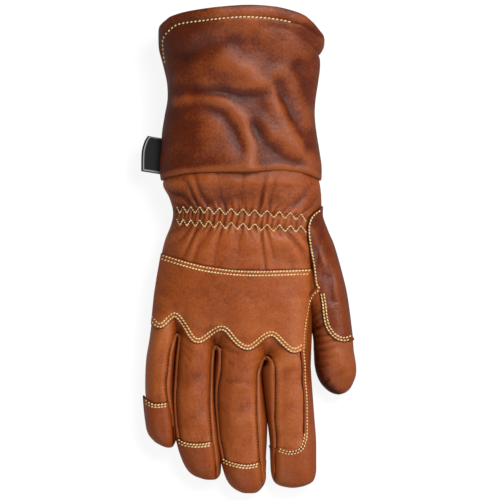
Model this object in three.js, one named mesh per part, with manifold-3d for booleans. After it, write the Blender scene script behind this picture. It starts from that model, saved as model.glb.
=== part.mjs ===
// Leather driver glove with a gauntlet cuff, for the right hand, lying palm down with its cuff open.
// Millimetres. +Y runs from the fingertips to the cuff, +X to the thumb, +Z up from the table.
// Every leather piece is a wall cut from one hollow body, or a patch laid over that body.
import * as THREE from "three";
import { mergeVertices } from "three/addons/utils/BufferGeometryUtils.js";
import Module from "manifold-3d";

const wasm = await Module();
wasm.setup();

// Leather
const LEATHER = 1.6;
const PATCH_LEATHER = 1.1;
const SEAM_GAP = 0.35;
const WRAP_PROUD = 1.1;
const WRAP_LAP = 2;
const SIDE_SEAM_HEIGHT = 13;

// Sections across the glove: where each one lies, its sides, and its underside and top before it is
// flattened where it rests. Slant turns a section in plan, in mm of Y for each mm of X, and floor is
// the height that it is flattened at. Both are 0 where a row leaves them out.
const SECTION = ["y", "left", "right", "bottom", "top", "slant", "floor"];
// A section is widest at this share of its height, and its roundness is the power of a superellipse.
const WIDEST_AT = 0.44;
const SQUARENESS = 2.3;

const WRIST_AND_HAND = [
  [58.0, -61.6, 49.4, -3, 56.8, 0, 2.2],
  [50.0, -61.6, 49.4, -3, 56.8, 0, 2.2],
  [44.9, -61.1, 51.6, -4, 55.2, 0, 1.2],
  [37.6, -57.9, 52.7, -6, 52.6, 0, 0],
  [27.4, -55.3, 53.1, -6, 50.6, 0, 0],
  [17.9, -56.8, 53.1, -6, 50.2, 0, 0],
  [6.9, -61.1, 52.7, -6, 50.0, 0, 0],
  [-7.7, -64.5, 52.0, -6, 48.6, 0, 0],
  [-36.9, -69.5, 47.6, -6, 45.0, -0.09, 0],
  [-51.5, -70.6, 45.6, -6, 42.0, -0.16, 0],
  [-66.0, -71.0, 44.6, -5, 38.0, -0.22, 0],
  [-78.0, -70.0, 43.0, -2, 31.0, -0.24, 0],
];

const FINGERS = {
  little: [
    [-36.9, -69.0, -47.0, -3, 33.0],
    [-63.1, -72.2, -52.5, -3, 35.0],
    [-80.7, -75.0, -54.6, -3, 32.0],
    [-98.9, -75.7, -55.7, -3, 30.5],
    [-109.9, -75.2, -56.5, -3, 29.0],
    [-124.5, -74.5, -55.7, -3, 27.5],
    [-133.2, -72.9, -55.0, -2, 25.6],
    [-139.1, -68.5, -55.1, 0, 22.8],
    [-142.0, -63.8, -55.6, 3, 20.0],
    [-143.3, -60.6, -56.4, 6, 17.0],
  ],
  ring: [
    [-36.9, -49.0, -20.5, -3, 40.5],
    [-66.1, -51.6, -24.2, -3, 37.5],
    [-88.0, -53.8, -25.7, -3, 34.0],
    [-109.9, -54.4, -25.7, -3, 32.0],
    [-131.8, -52.6, -24.3, -3, 30.0],
    [-142.7, -50.3, -23.7, -3, 28.0],
    [-152.2, -48.2, -22.2, -2, 26.0],
    [-159.5, -44.5, -21.4, -1, 23.4],
    [-164.0, -39.8, -22.0, 2, 20.4],
    [-166.7, -32.5, -24.4, 6, 17.0],
  ],
  middle: [
    [-36.9, -24.0, 14.0, -3, 43.0],
    [-73.4, -23.0, 12.6, -3, 38.5],
    [-89.4, -24.6, 8.9, -3, 35.5],
    [-109.9, -24.6, 10.8, -3, 33.5],
    [-124.5, -23.3, 12.6, -3, 32.0],
    [-139.1, -21.3, 12.4, -3, 30.5],
    [-150.0, -18.9, 11.8, -3, 29.0],
    [-161.0, -17.6, 11.4, -2, 27.0],
    [-168.3, -14.8, 11.2, -1, 24.4],
    [-173.2, -10.7, 8.8, 2, 21.4],
    [-176.5, -4.6, 5.0, 6, 17.4],
  ],
  index: [
    [-36.9, 10.0, 46.0, -3, 37.0],
    [-78.5, 13.4, 44.3, -3, 37.0],
    [-89.4, 10.3, 44.3, -3, 35.0],
    [-109.9, 12.2, 45.8, -3, 33.0],
    [-124.5, 14.2, 46.9, -3, 31.5],
    [-139.1, 16.0, 48.0, -3, 30.0],
    [-153.7, 16.6, 48.1, -3, 27.5],
    [-162.4, 17.1, 48.0, -2, 25.0],
    [-168.3, 18.9, 46.2, 0, 22.4],
    [-171.2, 22.5, 41.5, 3, 19.8],
    [-172.6, 28.0, 36.0, 6, 16.8],
  ],
};

const THUMB = [
  [32.5, 36.0, 50.6, 4, 26.0],
  [12.8, 35.2, 58.2, 0, 33.0],
  [1.8, 36.0, 62.8, -2, 35.0],
  [-22.3, 38.1, 69.5, -4, 36.5],
  [-36.9, 41.1, 72.5, -4, 36.0],
  [-62.4, 46.5, 75.8, -4, 33.0],
  [-73.4, 47.3, 76.7, -4, 31.0],
  [-84.3, 48.0, 78.4, -3, 29.0],
  [-91.6, 49.6, 78.3, -2, 26.4],
  [-97.5, 52.4, 76.1, 0, 23.4],
  [-102.6, 56.6, 72.5, 3, 20.0],
  [-105.8, 62.2, 68.1, 6, 16.4],
];

const CUFF = [
  [50.0, -64.4, 52.0, -6, 60.0],
  [61.7, -64.4, 52.4, -6, 61.0],
  [72.6, -63.3, 50.9, -6, 61.6],
  [83.6, -62.6, 49.1, -6, 62.2],
  [96.0, -60.8, 47.6, -6, 63.0],
  [107.7, -58.6, 48.0, -6, 64.6],
  [120.1, -58.9, 49.8, -6, 67.0],
  [131.0, -61.1, 51.3, -6, 70.0],
  [139.8, -63.7, 51.3, -6, 73.0],
  [147.1, -65.2, 53.4, -6, 75.4],
  [154.4, -65.5, 54.9, -6, 78.0],
];
// The cuff's two edges arch along Y: each lies this much further up over the back than at the sides.
const CUFF_EDGE_ARCH = 6.4;
const CUFF_RIM_ARCH = 23.4;
const PALM_SIDE_ARCH = 0.7;

// Folds in the back of the cuff: a straight ridge, or a crease where the height is negative.
const FOLD = ["x0", "y0", "x1", "y1", "width", "height"];
const CUFF_FOLDS = [
  [-46, 112, 10, 116, 5, -2.6],
  [-40, 121, 5, 121, 7, 2.0],
  [-53, 109, -21, 107, 5, 1.8],
  [-21, 107, -3, 92, 5, 2.2],
  [-3, 92, 1, 60, 5, 2.2],
  [-46, 139, -9, 154, 5, -2.6],
  [-43, 147, -15, 162, 5, 1.8],
  [-10, 139, 12, 117, 6, 1.6],
  [21, 117, 28, 88, 5, 2.0],
  [28, 88, 45, 65, 5, 2.0],
  [3, 88, 22, 65, 4.5, -2.2],
  [26, 129, 42, 106, 5, 1.6],
];

// Gathers of the elastic wrist, one for each two steps across the back
const GATHER_DEPTH = 0.7;
const GATHER_CENTRE = 21;
const GATHER_REACH = 17;

// Seams in plan, [x, y], from the hand to the fingertips. The fourchettes lie between the paired lines.
const FOURCHETTE_SEAMS = {
  fourchette_little_ring: {
    littleSide: [[-53.6, -60.6], [-55.7, -66.4], [-57.5, -75.6], [-58.9, -88], [-60, -98.9], [-58.9, -110],
      [-56.8, -124.5], [-55.9, -139], [-55.9, -160]],
    ringSide: [[-50.8, -60.6], [-51.1, -73.4], [-52, -88], [-53.1, -106], [-52.4, -124.5], [-50.4, -139],
      [-47.4, -160]],
  },
  fourchette_ring_middle: {
    ringSide: [[-24.4, -69.4], [-26.6, -73.6], [-27.3, -82.1], [-27.6, -95.3], [-28.1, -110], [-27.6, -124.5],
      [-26.5, -139], [-25, -152], [-24.6, -185]],
    middleSide: [[-20.8, -69.4], [-20.2, -74.8], [-20.6, -88], [-22.4, -99], [-23, -110], [-22.1, -132],
      [-18.4, -150], [-16, -164], [-14, -185]],
  },
  fourchette_middle_index: {
    middleSide: [[12.6, -77.2], [8.2, -83.6], [6.6, -89.4], [6.2, -99], [6, -110], [6.2, -124.5],
      [7.1, -139], [8.2, -155], [9.3, -167], [9.3, -185]],
    indexSide: [[16.8, -77.2], [18.7, -82.9], [19, -91.6], [18.9, -110], [18.7, -124.5], [19.7, -135.4],
      [19.9, -148], [19.9, -185]],
  },
};

// The palm leather wraps the index side and tip. Its edge starts at the fork of thumb and index.
const FORK = [50.6, -29.6];
const WRIST_TO_FORK = [[58, 31.5], [51.3, 29.9], [45.4, 25.2], [42.5, 17.9], [42.5, 10.6], [44, -0.4],
  [46.2, -12], [48, -25.9], FORK];
const INDEX_WRAP_EDGE = [FORK, [44, -33.9], [41.4, -44.2], [39.6, -55.1], [39.2, -69.7], [38.9, -80.7],
  [40, -95.3], [40.3, -110], [40.8, -124.5], [39.6, -139], [36.4, -145], [30.5, -146.4], [21.4, -144.2],
  [14.2, -143.6]];
const THUMB_PATCH_EDGE = [FORK, [53.1, -30.4], [54.9, -37], [57.1, -46], [59.3, -56.6], [64.4, -61],
  [70.3, -63.1], [90, -62]];
const THUMB_INNER_SIDE = [FORK, [48.4, -37], [46.9, -50], [46.6, -80], [48.3, -100], [51.5, -112],
  [60, -125]];

// The knuckle strap lies between its top edge and its scalloped lower edge, from side seam to wrap.
const STRAP_TOP = [[-90, -7], [-66.2, -9.1], [-57.5, -10.9], [-46.5, -13.5], [-31.9, -15.7],
  [-13.7, -17], [0.9, -17.5], [15.5, -17.2], [30.1, -15.7], [60, -13.4]];
const STRAP_SCALLOPS = [[50, -71], [39.6, -72.3], [36, -74.8], [32.3, -74.1], [27.9, -69], [22.8, -62.4],
  [17.7, -60.6], [12.6, -63.1], [6.8, -69.7], [0.9, -73], [-3.5, -71.9], [-7.8, -66.8], [-15.1, -58],
  [-20.3, -56.2], [-24.6, -58], [-31.9, -63.1], [-38.5, -66.8], [-42.9, -60.2], [-48.7, -50.4],
  [-53.8, -46.7], [-59.7, -49.3], [-64.1, -58], [-69, -57], [-74, -50], [-90, -46]];

// Tip caps: the edge across each finger, and how far past the tip the cap's outline reaches
const CAP_EDGES = {
  little: [[-80, -105], [-75, -110.6], [-68.4, -112.4], [-61.1, -111.3], [-53.9, -108.4]],
  ring: [[-55.4, -132], [-52, -135], [-46.5, -139.1], [-39.2, -140.9], [-31.9, -140.5], [-20.55, -136.4]],
  middle: [[-20.55, -150], [-12.2, -154.4], [-4.2, -156.2], [2.4, -155.9], [14.6, -151.6]],
};
const PAST_THE_TIPS = -185;

// Woven side label, folded and caught in the cuff's side seam
const LABEL_OUTLINE = [[-62, 81], [-73.3, 83.3], [-76, 79.3], [-77.9, 72.7], [-78.6, 65], [-78.4, 56.7],
  [-62, 54.1]];
const LABEL_THICK = 1.2;
const LABEL_HEIGHT = 25;

// Reach of the cutting prisms, past the glove on every side
const BELOW_ALL = -20;
const ABOVE_ALL = 100;
const HOLLOW_PAST_WRIST = 6;
const FAR_AROUND = [[-120, 100], [-120, -200], [120, -200], [120, 100]];

// Facets
const HAND_STEPS = { back: 26, palm: 6 };
const CUFF_STEPS = { back: 32, palm: 10 };
const FINGER_STEPS = { back: 8, palm: 4 };
const THUMB_STEPS = { back: 10, palm: 4 };
const HAND_HOLLOW_STEPS = { back: 10, palm: 6 };
const FINGER_HOLLOW_STEPS = { back: 6, palm: 4 };

// Colours
const TAN = 0x9c5a2c;
const CUFF_TAN = 0x8a4a22;
const PALM_TAN = 0x7f4220;
const FOURCHETTE_TAN = 0x854a24;
const LABEL_BLACK = 0x1a1a1c;

// A row of a table as an object with the table's column names.
function named(columns, row) {
  return Object.fromEntries(columns.map((column, i) => [column, row[i]]));
}

// Angles round a section: 0 to pi over the back, pi to two pi under the palm.
function anglesRound(steps) {
  const back = Array.from({ length: steps.back }, (_, i) => (Math.PI * i) / steps.back);
  const palm = Array.from({ length: steps.palm }, (_, i) => Math.PI * (1 + i / steps.palm));
  return [...back, ...palm];
}

// A rounded section, grown outwards by grow, and flattened where the table would cut it.
function sectionLoop(section, angles, grow, relief = () => 0, lift = () => 0) {
  const { slant = 0, floor = 0 } = section;
  const middle = (section.left + section.right) / 2;
  const widest = section.bottom + (section.top - section.bottom) * WIDEST_AT;
  return angles.map((angle) => {
    const across = Math.sign(Math.cos(angle)) * Math.abs(Math.cos(angle)) ** (2 / SQUARENESS);
    const up = Math.sign(Math.sin(angle)) * Math.abs(Math.sin(angle)) ** (2 / SQUARENESS);
    const halfWidth = (section.right - section.left) / 2;
    const reach = up > 0 ? section.top - widest : widest - section.bottom;
    const y = section.y + slant * (middle + halfWidth * across) + lift(angle);
    const out = grow + relief(angle, middle + halfWidth * across, y);
    const x = middle + (halfWidth + out) * across;
    const z = widest + (reach + out) * up;
    return new THREE.Vector3(x, y, Math.max(z, floor - grow));
  });
}

// Triangles between two loops of the same length.
function bandTriangles(count, from, to) {
  const triangles = [];
  for (let i = 0; i < count; i++) {
    const next = (i + 1) % count;
    triangles.push(from + i, to + next, to + i, from + i, from + next, to + next);
  }
  return triangles;
}

// A closed solid from its corners and triangles.
function solidFrom(points, triangles) {
  const vertProperties = new Float32Array(points.flatMap((p) => [p.x, p.y, p.z]));
  return new wasm.Manifold(
    new wasm.Mesh({ numProp: 3, vertProperties, triVerts: new Uint32Array(triangles) })
  );
}

// A solid through a row of loops that run towards -Y, closed by a fan at each end.
function loft(loops) {
  const count = loops[0].length;
  const points = loops.flat();
  const triangles = [];
  for (let i = 0; i + 1 < loops.length; i++)
    triangles.push(...bandTriangles(count, i * count, (i + 1) * count));
  const centreOf = (loop) =>
    loop.reduce((sum, p) => sum.add(p), new THREE.Vector3()).divideScalar(loop.length);
  const firstCentre = points.push(centreOf(loops[0])) - 1;
  const lastCentre = points.push(centreOf(loops[loops.length - 1])) - 1;
  const last = (loops.length - 1) * count;
  for (let i = 0; i < count; i++) {
    const next = (i + 1) % count;
    triangles.push(firstCentre, next, i);
    triangles.push(lastCentre, last + i, last + next);
  }
  return solidFrom(points, triangles);
}

// An open tube with a wall: outer and inner loops, joined edge to edge at both ends.
function tube(outer, inner) {
  const count = outer[0].length;
  const points = [...outer.flat(), ...inner.flat()];
  const innerStart = outer.length * count;
  const triangles = [];
  for (let i = 0; i + 1 < outer.length; i++) {
    triangles.push(...bandTriangles(count, i * count, (i + 1) * count));
    triangles.push(...bandTriangles(count, innerStart + (i + 1) * count, innerStart + i * count));
  }
  const last = (outer.length - 1) * count;
  triangles.push(...bandTriangles(count, innerStart, 0));
  triangles.push(...bandTriangles(count, last, innerStart + last));
  return solidFrom(points, triangles);
}

// A three.js geometry as a closed solid.
function solidOf(geometry) {
  const bare = geometry.index ? geometry.toNonIndexed() : geometry.clone();
  bare.deleteAttribute("normal");
  bare.deleteAttribute("uv");
  const merged = mergeVertices(bare, 1e-4);
  return new wasm.Manifold(
    new wasm.Mesh({
      numProp: 3,
      vertProperties: merged.attributes.position.array,
      triVerts: new Uint32Array(merged.index.array),
    })
  );
}

// An upright prism over an outline in plan, given as [x, y] corners.
function prism(outline, low, high) {
  const shape = new THREE.Shape(outline.map(([x, y]) => new THREE.Vector2(x, y)));
  const geometry = new THREE.ExtrudeGeometry(shape, { depth: high - low, bevelEnabled: false });
  return solidOf(geometry.translate(0, 0, low));
}

// A thin upright wall along a seam line, which leaves the gap between two pieces of leather.
function seamCut(line, low = SIDE_SEAM_HEIGHT) {
  const points = line.map(([x, y]) => new THREE.Vector2(x, y));
  const half = SEAM_GAP / 2;
  const side = (sign) =>
    points.map((point, i) => {
      const ahead = points[Math.min(i + 1, points.length - 1)];
      const behind = points[Math.max(i - 1, 0)];
      const along = ahead.clone().sub(behind).normalize();
      return [point.x - sign * half * along.y, point.y + sign * half * along.x];
    });
  return prism([...side(1), ...side(-1).reverse()], low, ABOVE_ALL);
}

// The body that remains when seam scraps are dropped.
function largest(solid) {
  return solid.decompose().reduce((a, b) => (b.volume() > a.volume() ? b : a));
}

function union(solids) {
  return solids.reduce((all, solid) => all.add(solid));
}

// Loft of one table of sections, grown outwards by grow, its far end too.
function limb(rows, steps, grow, relief) {
  const angles = anglesRound(steps);
  const last = rows.length - 1;
  const loops = rows.map((row, i) => {
    const section = named(SECTION, row);
    section.y -= (grow * i) / last;
    return sectionLoop(section, angles, grow, relief);
  });
  return loft(loops);
}

// Gathers: the back of the wrist ripples in and out from one step to the next.
function gathers(angle, x, y) {
  if (Math.sin(angle) <= 0) return 0;
  const fade = Math.exp(-(((y - GATHER_CENTRE) / GATHER_REACH) ** 2));
  return GATHER_DEPTH * Math.sin(angle) * Math.cos(HAND_STEPS.back * angle) * fade;
}

// The whole hand as one body, grown outwards by grow. The hollow uses it with a negative grow.
function handBody(grow, steps, fingerSteps, thumbSteps, relief) {
  const wristRise = grow < 0 ? HOLLOW_PAST_WRIST : 0;
  const [first, ...others] = WRIST_AND_HAND;
  const hand = [[first[0] + wristRise, ...first.slice(1)], ...others];
  return union([
    limb(hand, steps, grow, relief),
    ...Object.values(FINGERS).map((rows) => limb(rows, fingerSteps, grow)),
    limb(THUMB, thumbSteps, grow),
  ]);
}

// Height of the cuff's folds at a place on its back.
function cuffFolds(angle, x, y) {
  if (Math.sin(angle) <= 0) return 0;
  const place = new THREE.Vector2(x, y);
  const height = CUFF_FOLDS.reduce((sum, row) => {
    const fold = named(FOLD, row);
    const start = new THREE.Vector2(fold.x0, fold.y0);
    const run = new THREE.Vector2(fold.x1, fold.y1).sub(start);
    const t = THREE.MathUtils.clamp(place.clone().sub(start).dot(run) / run.lengthSq(), 0, 1);
    const distance = place.distanceTo(start.addScaledVector(run, t));
    return sum + fold.height * Math.exp(-((distance / fold.width) ** 2));
  }, 0);
  return height * Math.min(1, 2 * Math.sin(angle));
}

// Loops of the gauntlet cuff, from rim to wrist. Its edges arch over the back and the palm side.
function cuffLoops(grow) {
  const angles = anglesRound(CUFF_STEPS);
  const last = CUFF.length - 1;
  return CUFF.map((row, i) => {
    const arch = CUFF_EDGE_ARCH + ((CUFF_RIM_ARCH - CUFF_EDGE_ARCH) * i) / last;
    const lift = (angle) => arch * Math.max(Math.sin(angle), -PALM_SIDE_ARCH * Math.sin(angle));
    return sectionLoop(named(SECTION, row), angles, grow, cuffFolds, lift);
  }).reverse();
}

// Outline of a region between two seam lines that run the same way.
function between(lineA, lineB) {
  return [...lineA, ...[...lineB].reverse()];
}

function makePieces() {
  const core = handBody(0, HAND_STEPS, FINGER_STEPS, THUMB_STEPS, gathers);
  const hollow = handBody(-LEATHER, HAND_HOLLOW_STEPS, FINGER_HOLLOW_STEPS, FINGER_HOLLOW_STEPS);
  const walls = core.subtract(hollow);
  const seams = union([
    ...Object.values(FOURCHETTE_SEAMS).flatMap((pair) => Object.values(pair).map((line) => seamCut(line))),
    seamCut(WRIST_TO_FORK),
    seamCut(INDEX_WRAP_EDGE),
    seamCut(THUMB_PATCH_EDGE, BELOW_ALL),
    seamCut(THUMB_INNER_SIDE, BELOW_ALL),
  ]);
  const cutWalls = walls.subtract(seams);
  const backHalf = prism(FAR_AROUND, SIDE_SEAM_HEIGHT + SEAM_GAP, ABOVE_ALL);
  const palmHalf = prism(FAR_AROUND, BELOW_ALL, SIDE_SEAM_HEIGHT);

  const region = (outline) => prism(outline, BELOW_ALL, ABOVE_ALL);
  const wrapRegion = region([...INDEX_WRAP_EDGE, [14.2, PAST_THE_TIPS], [60, PAST_THE_TIPS],
    ...[...THUMB_INNER_SIDE].slice(1).reverse()]);
  const patchRegion = region([...WRIST_TO_FORK, ...THUMB_PATCH_EDGE.slice(1), [90, 34], [58, 34]]);
  const thumbRegion = region([...THUMB_PATCH_EDGE, [90, -125], ...[...THUMB_INNER_SIDE].slice(1).reverse()]);
  const gapRegions = Object.fromEntries(
    Object.entries(FOURCHETTE_SEAMS).map(([name, pair]) => [name, region(between(...Object.values(pair)))])
  );
  const sideRegions = union([wrapRegion, patchRegion, thumbRegion]);

  const pieces = {};
  pieces.gauntlet_cuff = tube(cuffLoops(0), cuffLoops(-LEATHER));
  pieces.hand_back = largest(
    cutWalls.intersect(backHalf).subtract(sideRegions).subtract(union(Object.values(gapRegions)))
  );
  const proudBody = handBody(WRAP_PROUD, HAND_HOLLOW_STEPS, FINGER_STEPS, THUMB_STEPS);
  const wrap = proudBody.subtract(hollow).subtract(seams).intersect(wrapRegion)
    .subtract(prism(FAR_AROUND, BELOW_ALL, SIDE_SEAM_HEIGHT - WRAP_LAP));
  const palm = cutWalls.intersect(palmHalf).subtract(thumbRegion);
  pieces.palm = largest(palm.add(wrap));
  for (const [name, gap] of Object.entries(gapRegions))
    pieces[name] = largest(cutWalls.intersect(backHalf).intersect(gap).subtract(wrapRegion));
  pieces.thumb_patch = largest(cutWalls.intersect(backHalf).intersect(patchRegion));
  pieces.thumb = largest(cutWalls.intersect(thumbRegion));

  const under = handBody(SEAM_GAP, HAND_STEPS, FINGER_STEPS, THUMB_STEPS, gathers);
  const over = handBody(SEAM_GAP + PATCH_LEATHER, HAND_STEPS, FINGER_STEPS, THUMB_STEPS, gathers);
  const overlay = over.subtract(under).intersect(backHalf).subtract(sideRegions).subtract(seams);
  pieces.knuckle_strap = largest(overlay.intersect(region(between(STRAP_TOP, [...STRAP_SCALLOPS].reverse()))));
  for (const [finger, edge] of Object.entries(CAP_EDGES)) {
    const tip = (grow) => limb(FINGERS[finger], FINGER_STEPS, grow);
    const outline = [...edge, [edge[edge.length - 1][0], PAST_THE_TIPS], [edge[0][0], PAST_THE_TIPS]];
    pieces["tip_cap_" + finger] = largest(
      tip(SEAM_GAP + PATCH_LEATHER).subtract(tip(SEAM_GAP)).intersect(region(outline)).intersect(backHalf)
    );
  }

  const labelSlab = prism(LABEL_OUTLINE, LABEL_HEIGHT, LABEL_HEIGHT + LABEL_THICK);
  pieces.side_label = largest(labelSlab.subtract(loft(cuffLoops(SEAM_GAP))));
  return pieces;
}

// One named mesh for a solid.
function meshOf(name, solid, color, roughness) {
  const { vertProperties, triVerts } = solid.getMesh();
  const geometry = new THREE.BufferGeometry();
  geometry.setAttribute("position", new THREE.BufferAttribute(vertProperties, 3));
  geometry.setIndex(new THREE.BufferAttribute(triVerts, 1));
  geometry.computeVertexNormals();
  const mesh = new THREE.Mesh(geometry, new THREE.MeshStandardMaterial({ color, roughness, metalness: 0 }));
  mesh.name = name;
  return mesh;
}

const FINISHES = {
  gauntlet_cuff: CUFF_TAN,
  palm: PALM_TAN,
  thumb_patch: PALM_TAN,
  fourchette_little_ring: FOURCHETTE_TAN,
  fourchette_ring_middle: FOURCHETTE_TAN,
  fourchette_middle_index: FOURCHETTE_TAN,
  side_label: LABEL_BLACK,
};

const glove = new THREE.Group();
glove.name = "driver_glove";
for (const [name, solid] of Object.entries(makePieces())) {
  const roughness = name === "side_label" ? 0.9 : 0.5;
  glove.add(meshOf(name, solid, FINISHES[name] ?? TAN, roughness));
}

export default glove;
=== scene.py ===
import bmesh
import bpy
import numpy as np
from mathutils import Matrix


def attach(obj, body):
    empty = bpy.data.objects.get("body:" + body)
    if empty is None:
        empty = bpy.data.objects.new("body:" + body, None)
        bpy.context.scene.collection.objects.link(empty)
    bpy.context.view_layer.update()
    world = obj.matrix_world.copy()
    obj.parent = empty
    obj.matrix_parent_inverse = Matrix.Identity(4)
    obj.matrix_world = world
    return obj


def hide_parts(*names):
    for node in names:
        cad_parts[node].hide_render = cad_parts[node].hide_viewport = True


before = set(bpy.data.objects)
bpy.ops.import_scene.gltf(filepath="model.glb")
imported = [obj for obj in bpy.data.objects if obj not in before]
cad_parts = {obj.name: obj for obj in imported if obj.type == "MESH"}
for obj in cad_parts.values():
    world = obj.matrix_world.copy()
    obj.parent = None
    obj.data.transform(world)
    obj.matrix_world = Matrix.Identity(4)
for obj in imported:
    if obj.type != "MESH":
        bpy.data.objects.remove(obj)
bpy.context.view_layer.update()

# Camera
# The photograph looks straight down on the glove. A long lens from twelve metres keeps the high cuff
# from looking wider than the fingers, and the picture's width is 365 mm at the glove's sides.
VIEW_WIDTH = 0.365
VIEW_CENTRE = (0.0009, -0.0004)
CAMERA_HEIGHT = 12.0
SIDES_HEIGHT = 0.018
SENSOR = 36

lens = bpy.data.cameras.new("camera")
lens.sensor_width = SENSOR
lens.lens = SENSOR * (CAMERA_HEIGHT - SIDES_HEIGHT) / VIEW_WIDTH
camera = bpy.data.objects.new("camera", lens)
camera.location = (*VIEW_CENTRE, CAMERA_HEIGHT)
bpy.context.scene.collection.objects.link(camera)
bpy.context.scene.camera = camera

# Studio
# A pale floor that glows a little, like a light table, a dim surround, and three soft boxes: a key up and to
# the right, which puts soft highlights on whatever faces it, and weaker ones from the right and the front.
# The leather mirrors the soft boxes, but not the floor, which would haze its edges.
FLOOR_SIZE = 12.0
GLOSS = 0.3
FLOOR_GLOW = 0.88
FLOOR_GREY = 0.15
SURROUND_GLOW = 0.2
LIGHTS_AIM = (0.0, 0.0, 0.03)
SOFT_BOXES = [
    # name, place, size, watts
    ("key_light", (0.42, 0.5, 1.12), 0.5, 14.5),
    ("side_light", (1.0, -0.2, 0.75), 0.35, 4.0),
    ("front_light", (-0.3, -1.1, 0.95), 0.8, 4.5),
]


def plain_material(name, colour, roughness):
    """A new material with one shader: returns it, its nodes, its links and the shader."""
    material = bpy.data.materials.new(name)
    material.use_nodes = True
    nodes = material.node_tree.nodes
    shader = nodes["Principled BSDF"]
    shader.inputs["Base Color"].default_value = (*colour, 1)
    shader.inputs["Roughness"].default_value = roughness
    shader.inputs["Specular IOR Level"].default_value = GLOSS
    return material, nodes, material.node_tree.links, shader


for name, place, size, watts in SOFT_BOXES:
    light = bpy.data.lights.new(name, "AREA")
    light.size = size
    light.energy = watts
    box = bpy.data.objects.new(name, light)
    box.location = place
    aim = np.array(LIGHTS_AIM) - np.array(place)
    yaw = np.arctan2(aim[1], aim[0])
    tilt = np.arccos(-aim[2] / np.linalg.norm(aim))
    box.rotation_euler = (0, -tilt, yaw)
    box.visible_camera = False
    bpy.context.scene.collection.objects.link(box)

world = bpy.data.worlds.new("surround")
world.use_nodes = True
surround = world.node_tree.nodes["Background"]
surround.inputs["Color"].default_value = (1, 1, 1, 1)
surround.inputs["Strength"].default_value = SURROUND_GLOW
bpy.context.scene.world = world
bpy.context.scene.view_settings.view_transform = "Standard"

floor_mesh = bpy.data.meshes.new("floor")
half = FLOOR_SIZE / 2
floor_corners = [(-half, -half, 0), (half, -half, 0), (half, half, 0), (-half, half, 0)]
floor_mesh.from_pydata(floor_corners, [], [(0, 1, 2, 3)])
floor = bpy.data.objects.new("floor", floor_mesh)
floor_paint, _, _, floor_shader = plain_material("floor_paint", (FLOOR_GREY,) * 3, 0.9)
floor_shader.inputs["Emission Color"].default_value = (1, 1, 1, 1)
floor_shader.inputs["Emission Strength"].default_value = FLOOR_GLOW
floor_mesh.materials.append(floor_paint)
bpy.context.scene.collection.objects.link(floor)
floor.visible_glossy = False

# Back of the hand
# One piece of tan leather makes the wrist, the back of the hand and the backs of the four fingers.
# Elastic gathers it at the wrist. It is cut between the fingers and sewn to the fourchettes there.
ROUNDNESS = 2.3
WIDEST_AT = 0.44
OUTSIDE_SLOPE = 2.0

# y, left, right, bottom, top, slant: the slant turns a section in plan, in mm of Y for each mm of X
WRIST_AND_HAND = [
    (58.0, -61.6, 50.8, -3, 56.8, 0),
    (50.0, -62.4, 51.4, -3, 56.8, 0),
    (45.5, -62.2, 52.2, -4, 55.2, 0),
    (37.6, -58.0, 53.0, -6, 52.6, 0),
    (27.4, -55.3, 53.1, -6, 50.6, 0),
    (17.9, -56.8, 53.1, -6, 50.2, 0),
    (6.9, -61.1, 52.7, -6, 50.0, 0),
    (-7.7, -64.5, 52.0, -6, 48.6, 0),
    (-36.9, -69.5, 47.6, -6, 45.0, -0.09),
    (-51.5, -70.6, 45.6, -6, 42.0, -0.16),
    (-66.0, -71.0, 44.6, -5, 38.0, -0.22),
    (-78.0, -70.0, 43.0, -2, 31.0, -0.24),
]
# y, left, right, bottom, top
FINGERS = {
    "little": [
        (-36.9, -69.0, -47.0, -3, 33.0),
        (-63.1, -72.2, -52.5, -3, 35.0),
        (-80.7, -75.0, -54.6, -3, 32.0),
        (-98.9, -75.7, -55.7, -3, 30.5),
        (-109.9, -75.2, -55.6, -3, 29.0),
        (-124.5, -74.5, -54.5, -3, 27.5),
        (-133.2, -72.9, -54.0, -2, 25.6),
        (-139.1, -68.5, -54.3, 0, 22.8),
        (-142.0, -63.8, -55.6, 3, 20.0),
        (-143.3, -60.6, -56.4, 6, 17.0),
    ],
    "ring": [
        (-36.9, -49.0, -20.5, -3, 40.5),
        (-66.1, -51.6, -24.2, -3, 37.5),
        (-88.0, -53.8, -25.7, -3, 34.0),
        (-109.9, -55.0, -25.5, -3, 32.0),
        (-131.8, -53.5, -23.3, -3, 30.0),
        (-142.7, -51.4, -22.0, -3, 28.0),
        (-152.2, -48.2, -21.2, -2, 26.0),
        (-159.5, -44.5, -21.4, -1, 23.4),
        (-164.0, -39.8, -22.0, 2, 20.4),
        (-166.7, -32.5, -24.4, 6, 17.0),
    ],
    "middle": [
        (-36.9, -24.0, 14.0, -3, 43.0),
        (-73.4, -23.0, 12.6, -3, 38.5),
        (-89.4, -24.6, 8.9, -3, 35.5),
        (-109.9, -24.6, 10.8, -3, 33.5),
        (-124.5, -23.6, 12.6, -3, 32.0),
        (-139.1, -22.3, 12.4, -3, 30.5),
        (-150.0, -20.4, 11.8, -3, 29.0),
        (-161.0, -17.6, 11.4, -2, 27.0),
        (-168.3, -14.8, 11.2, -1, 24.4),
        (-173.2, -10.7, 8.8, 2, 21.4),
        (-176.5, -4.6, 5.0, 6, 17.4),
    ],
    "index": [
        (-36.9, 10.0, 46.0, -3, 37.0),
        (-78.5, 13.4, 44.3, -3, 37.0),
        (-89.4, 10.3, 44.3, -3, 35.0),
        (-109.9, 12.2, 45.8, -3, 33.0),
        (-124.5, 14.2, 46.9, -3, 31.5),
        (-139.1, 16.0, 48.0, -3, 30.0),
        (-153.7, 16.6, 48.1, -3, 27.5),
        (-162.4, 17.1, 48.0, -2, 25.0),
        (-168.3, 18.9, 46.2, 0, 22.4),
        (-171.2, 22.5, 41.5, 3, 19.8),
        (-172.6, 28.0, 36.0, 6, 16.8),
    ],
}
TIP_ROUND = 0.4
TIP_HEIGHT = 11.4

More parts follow.
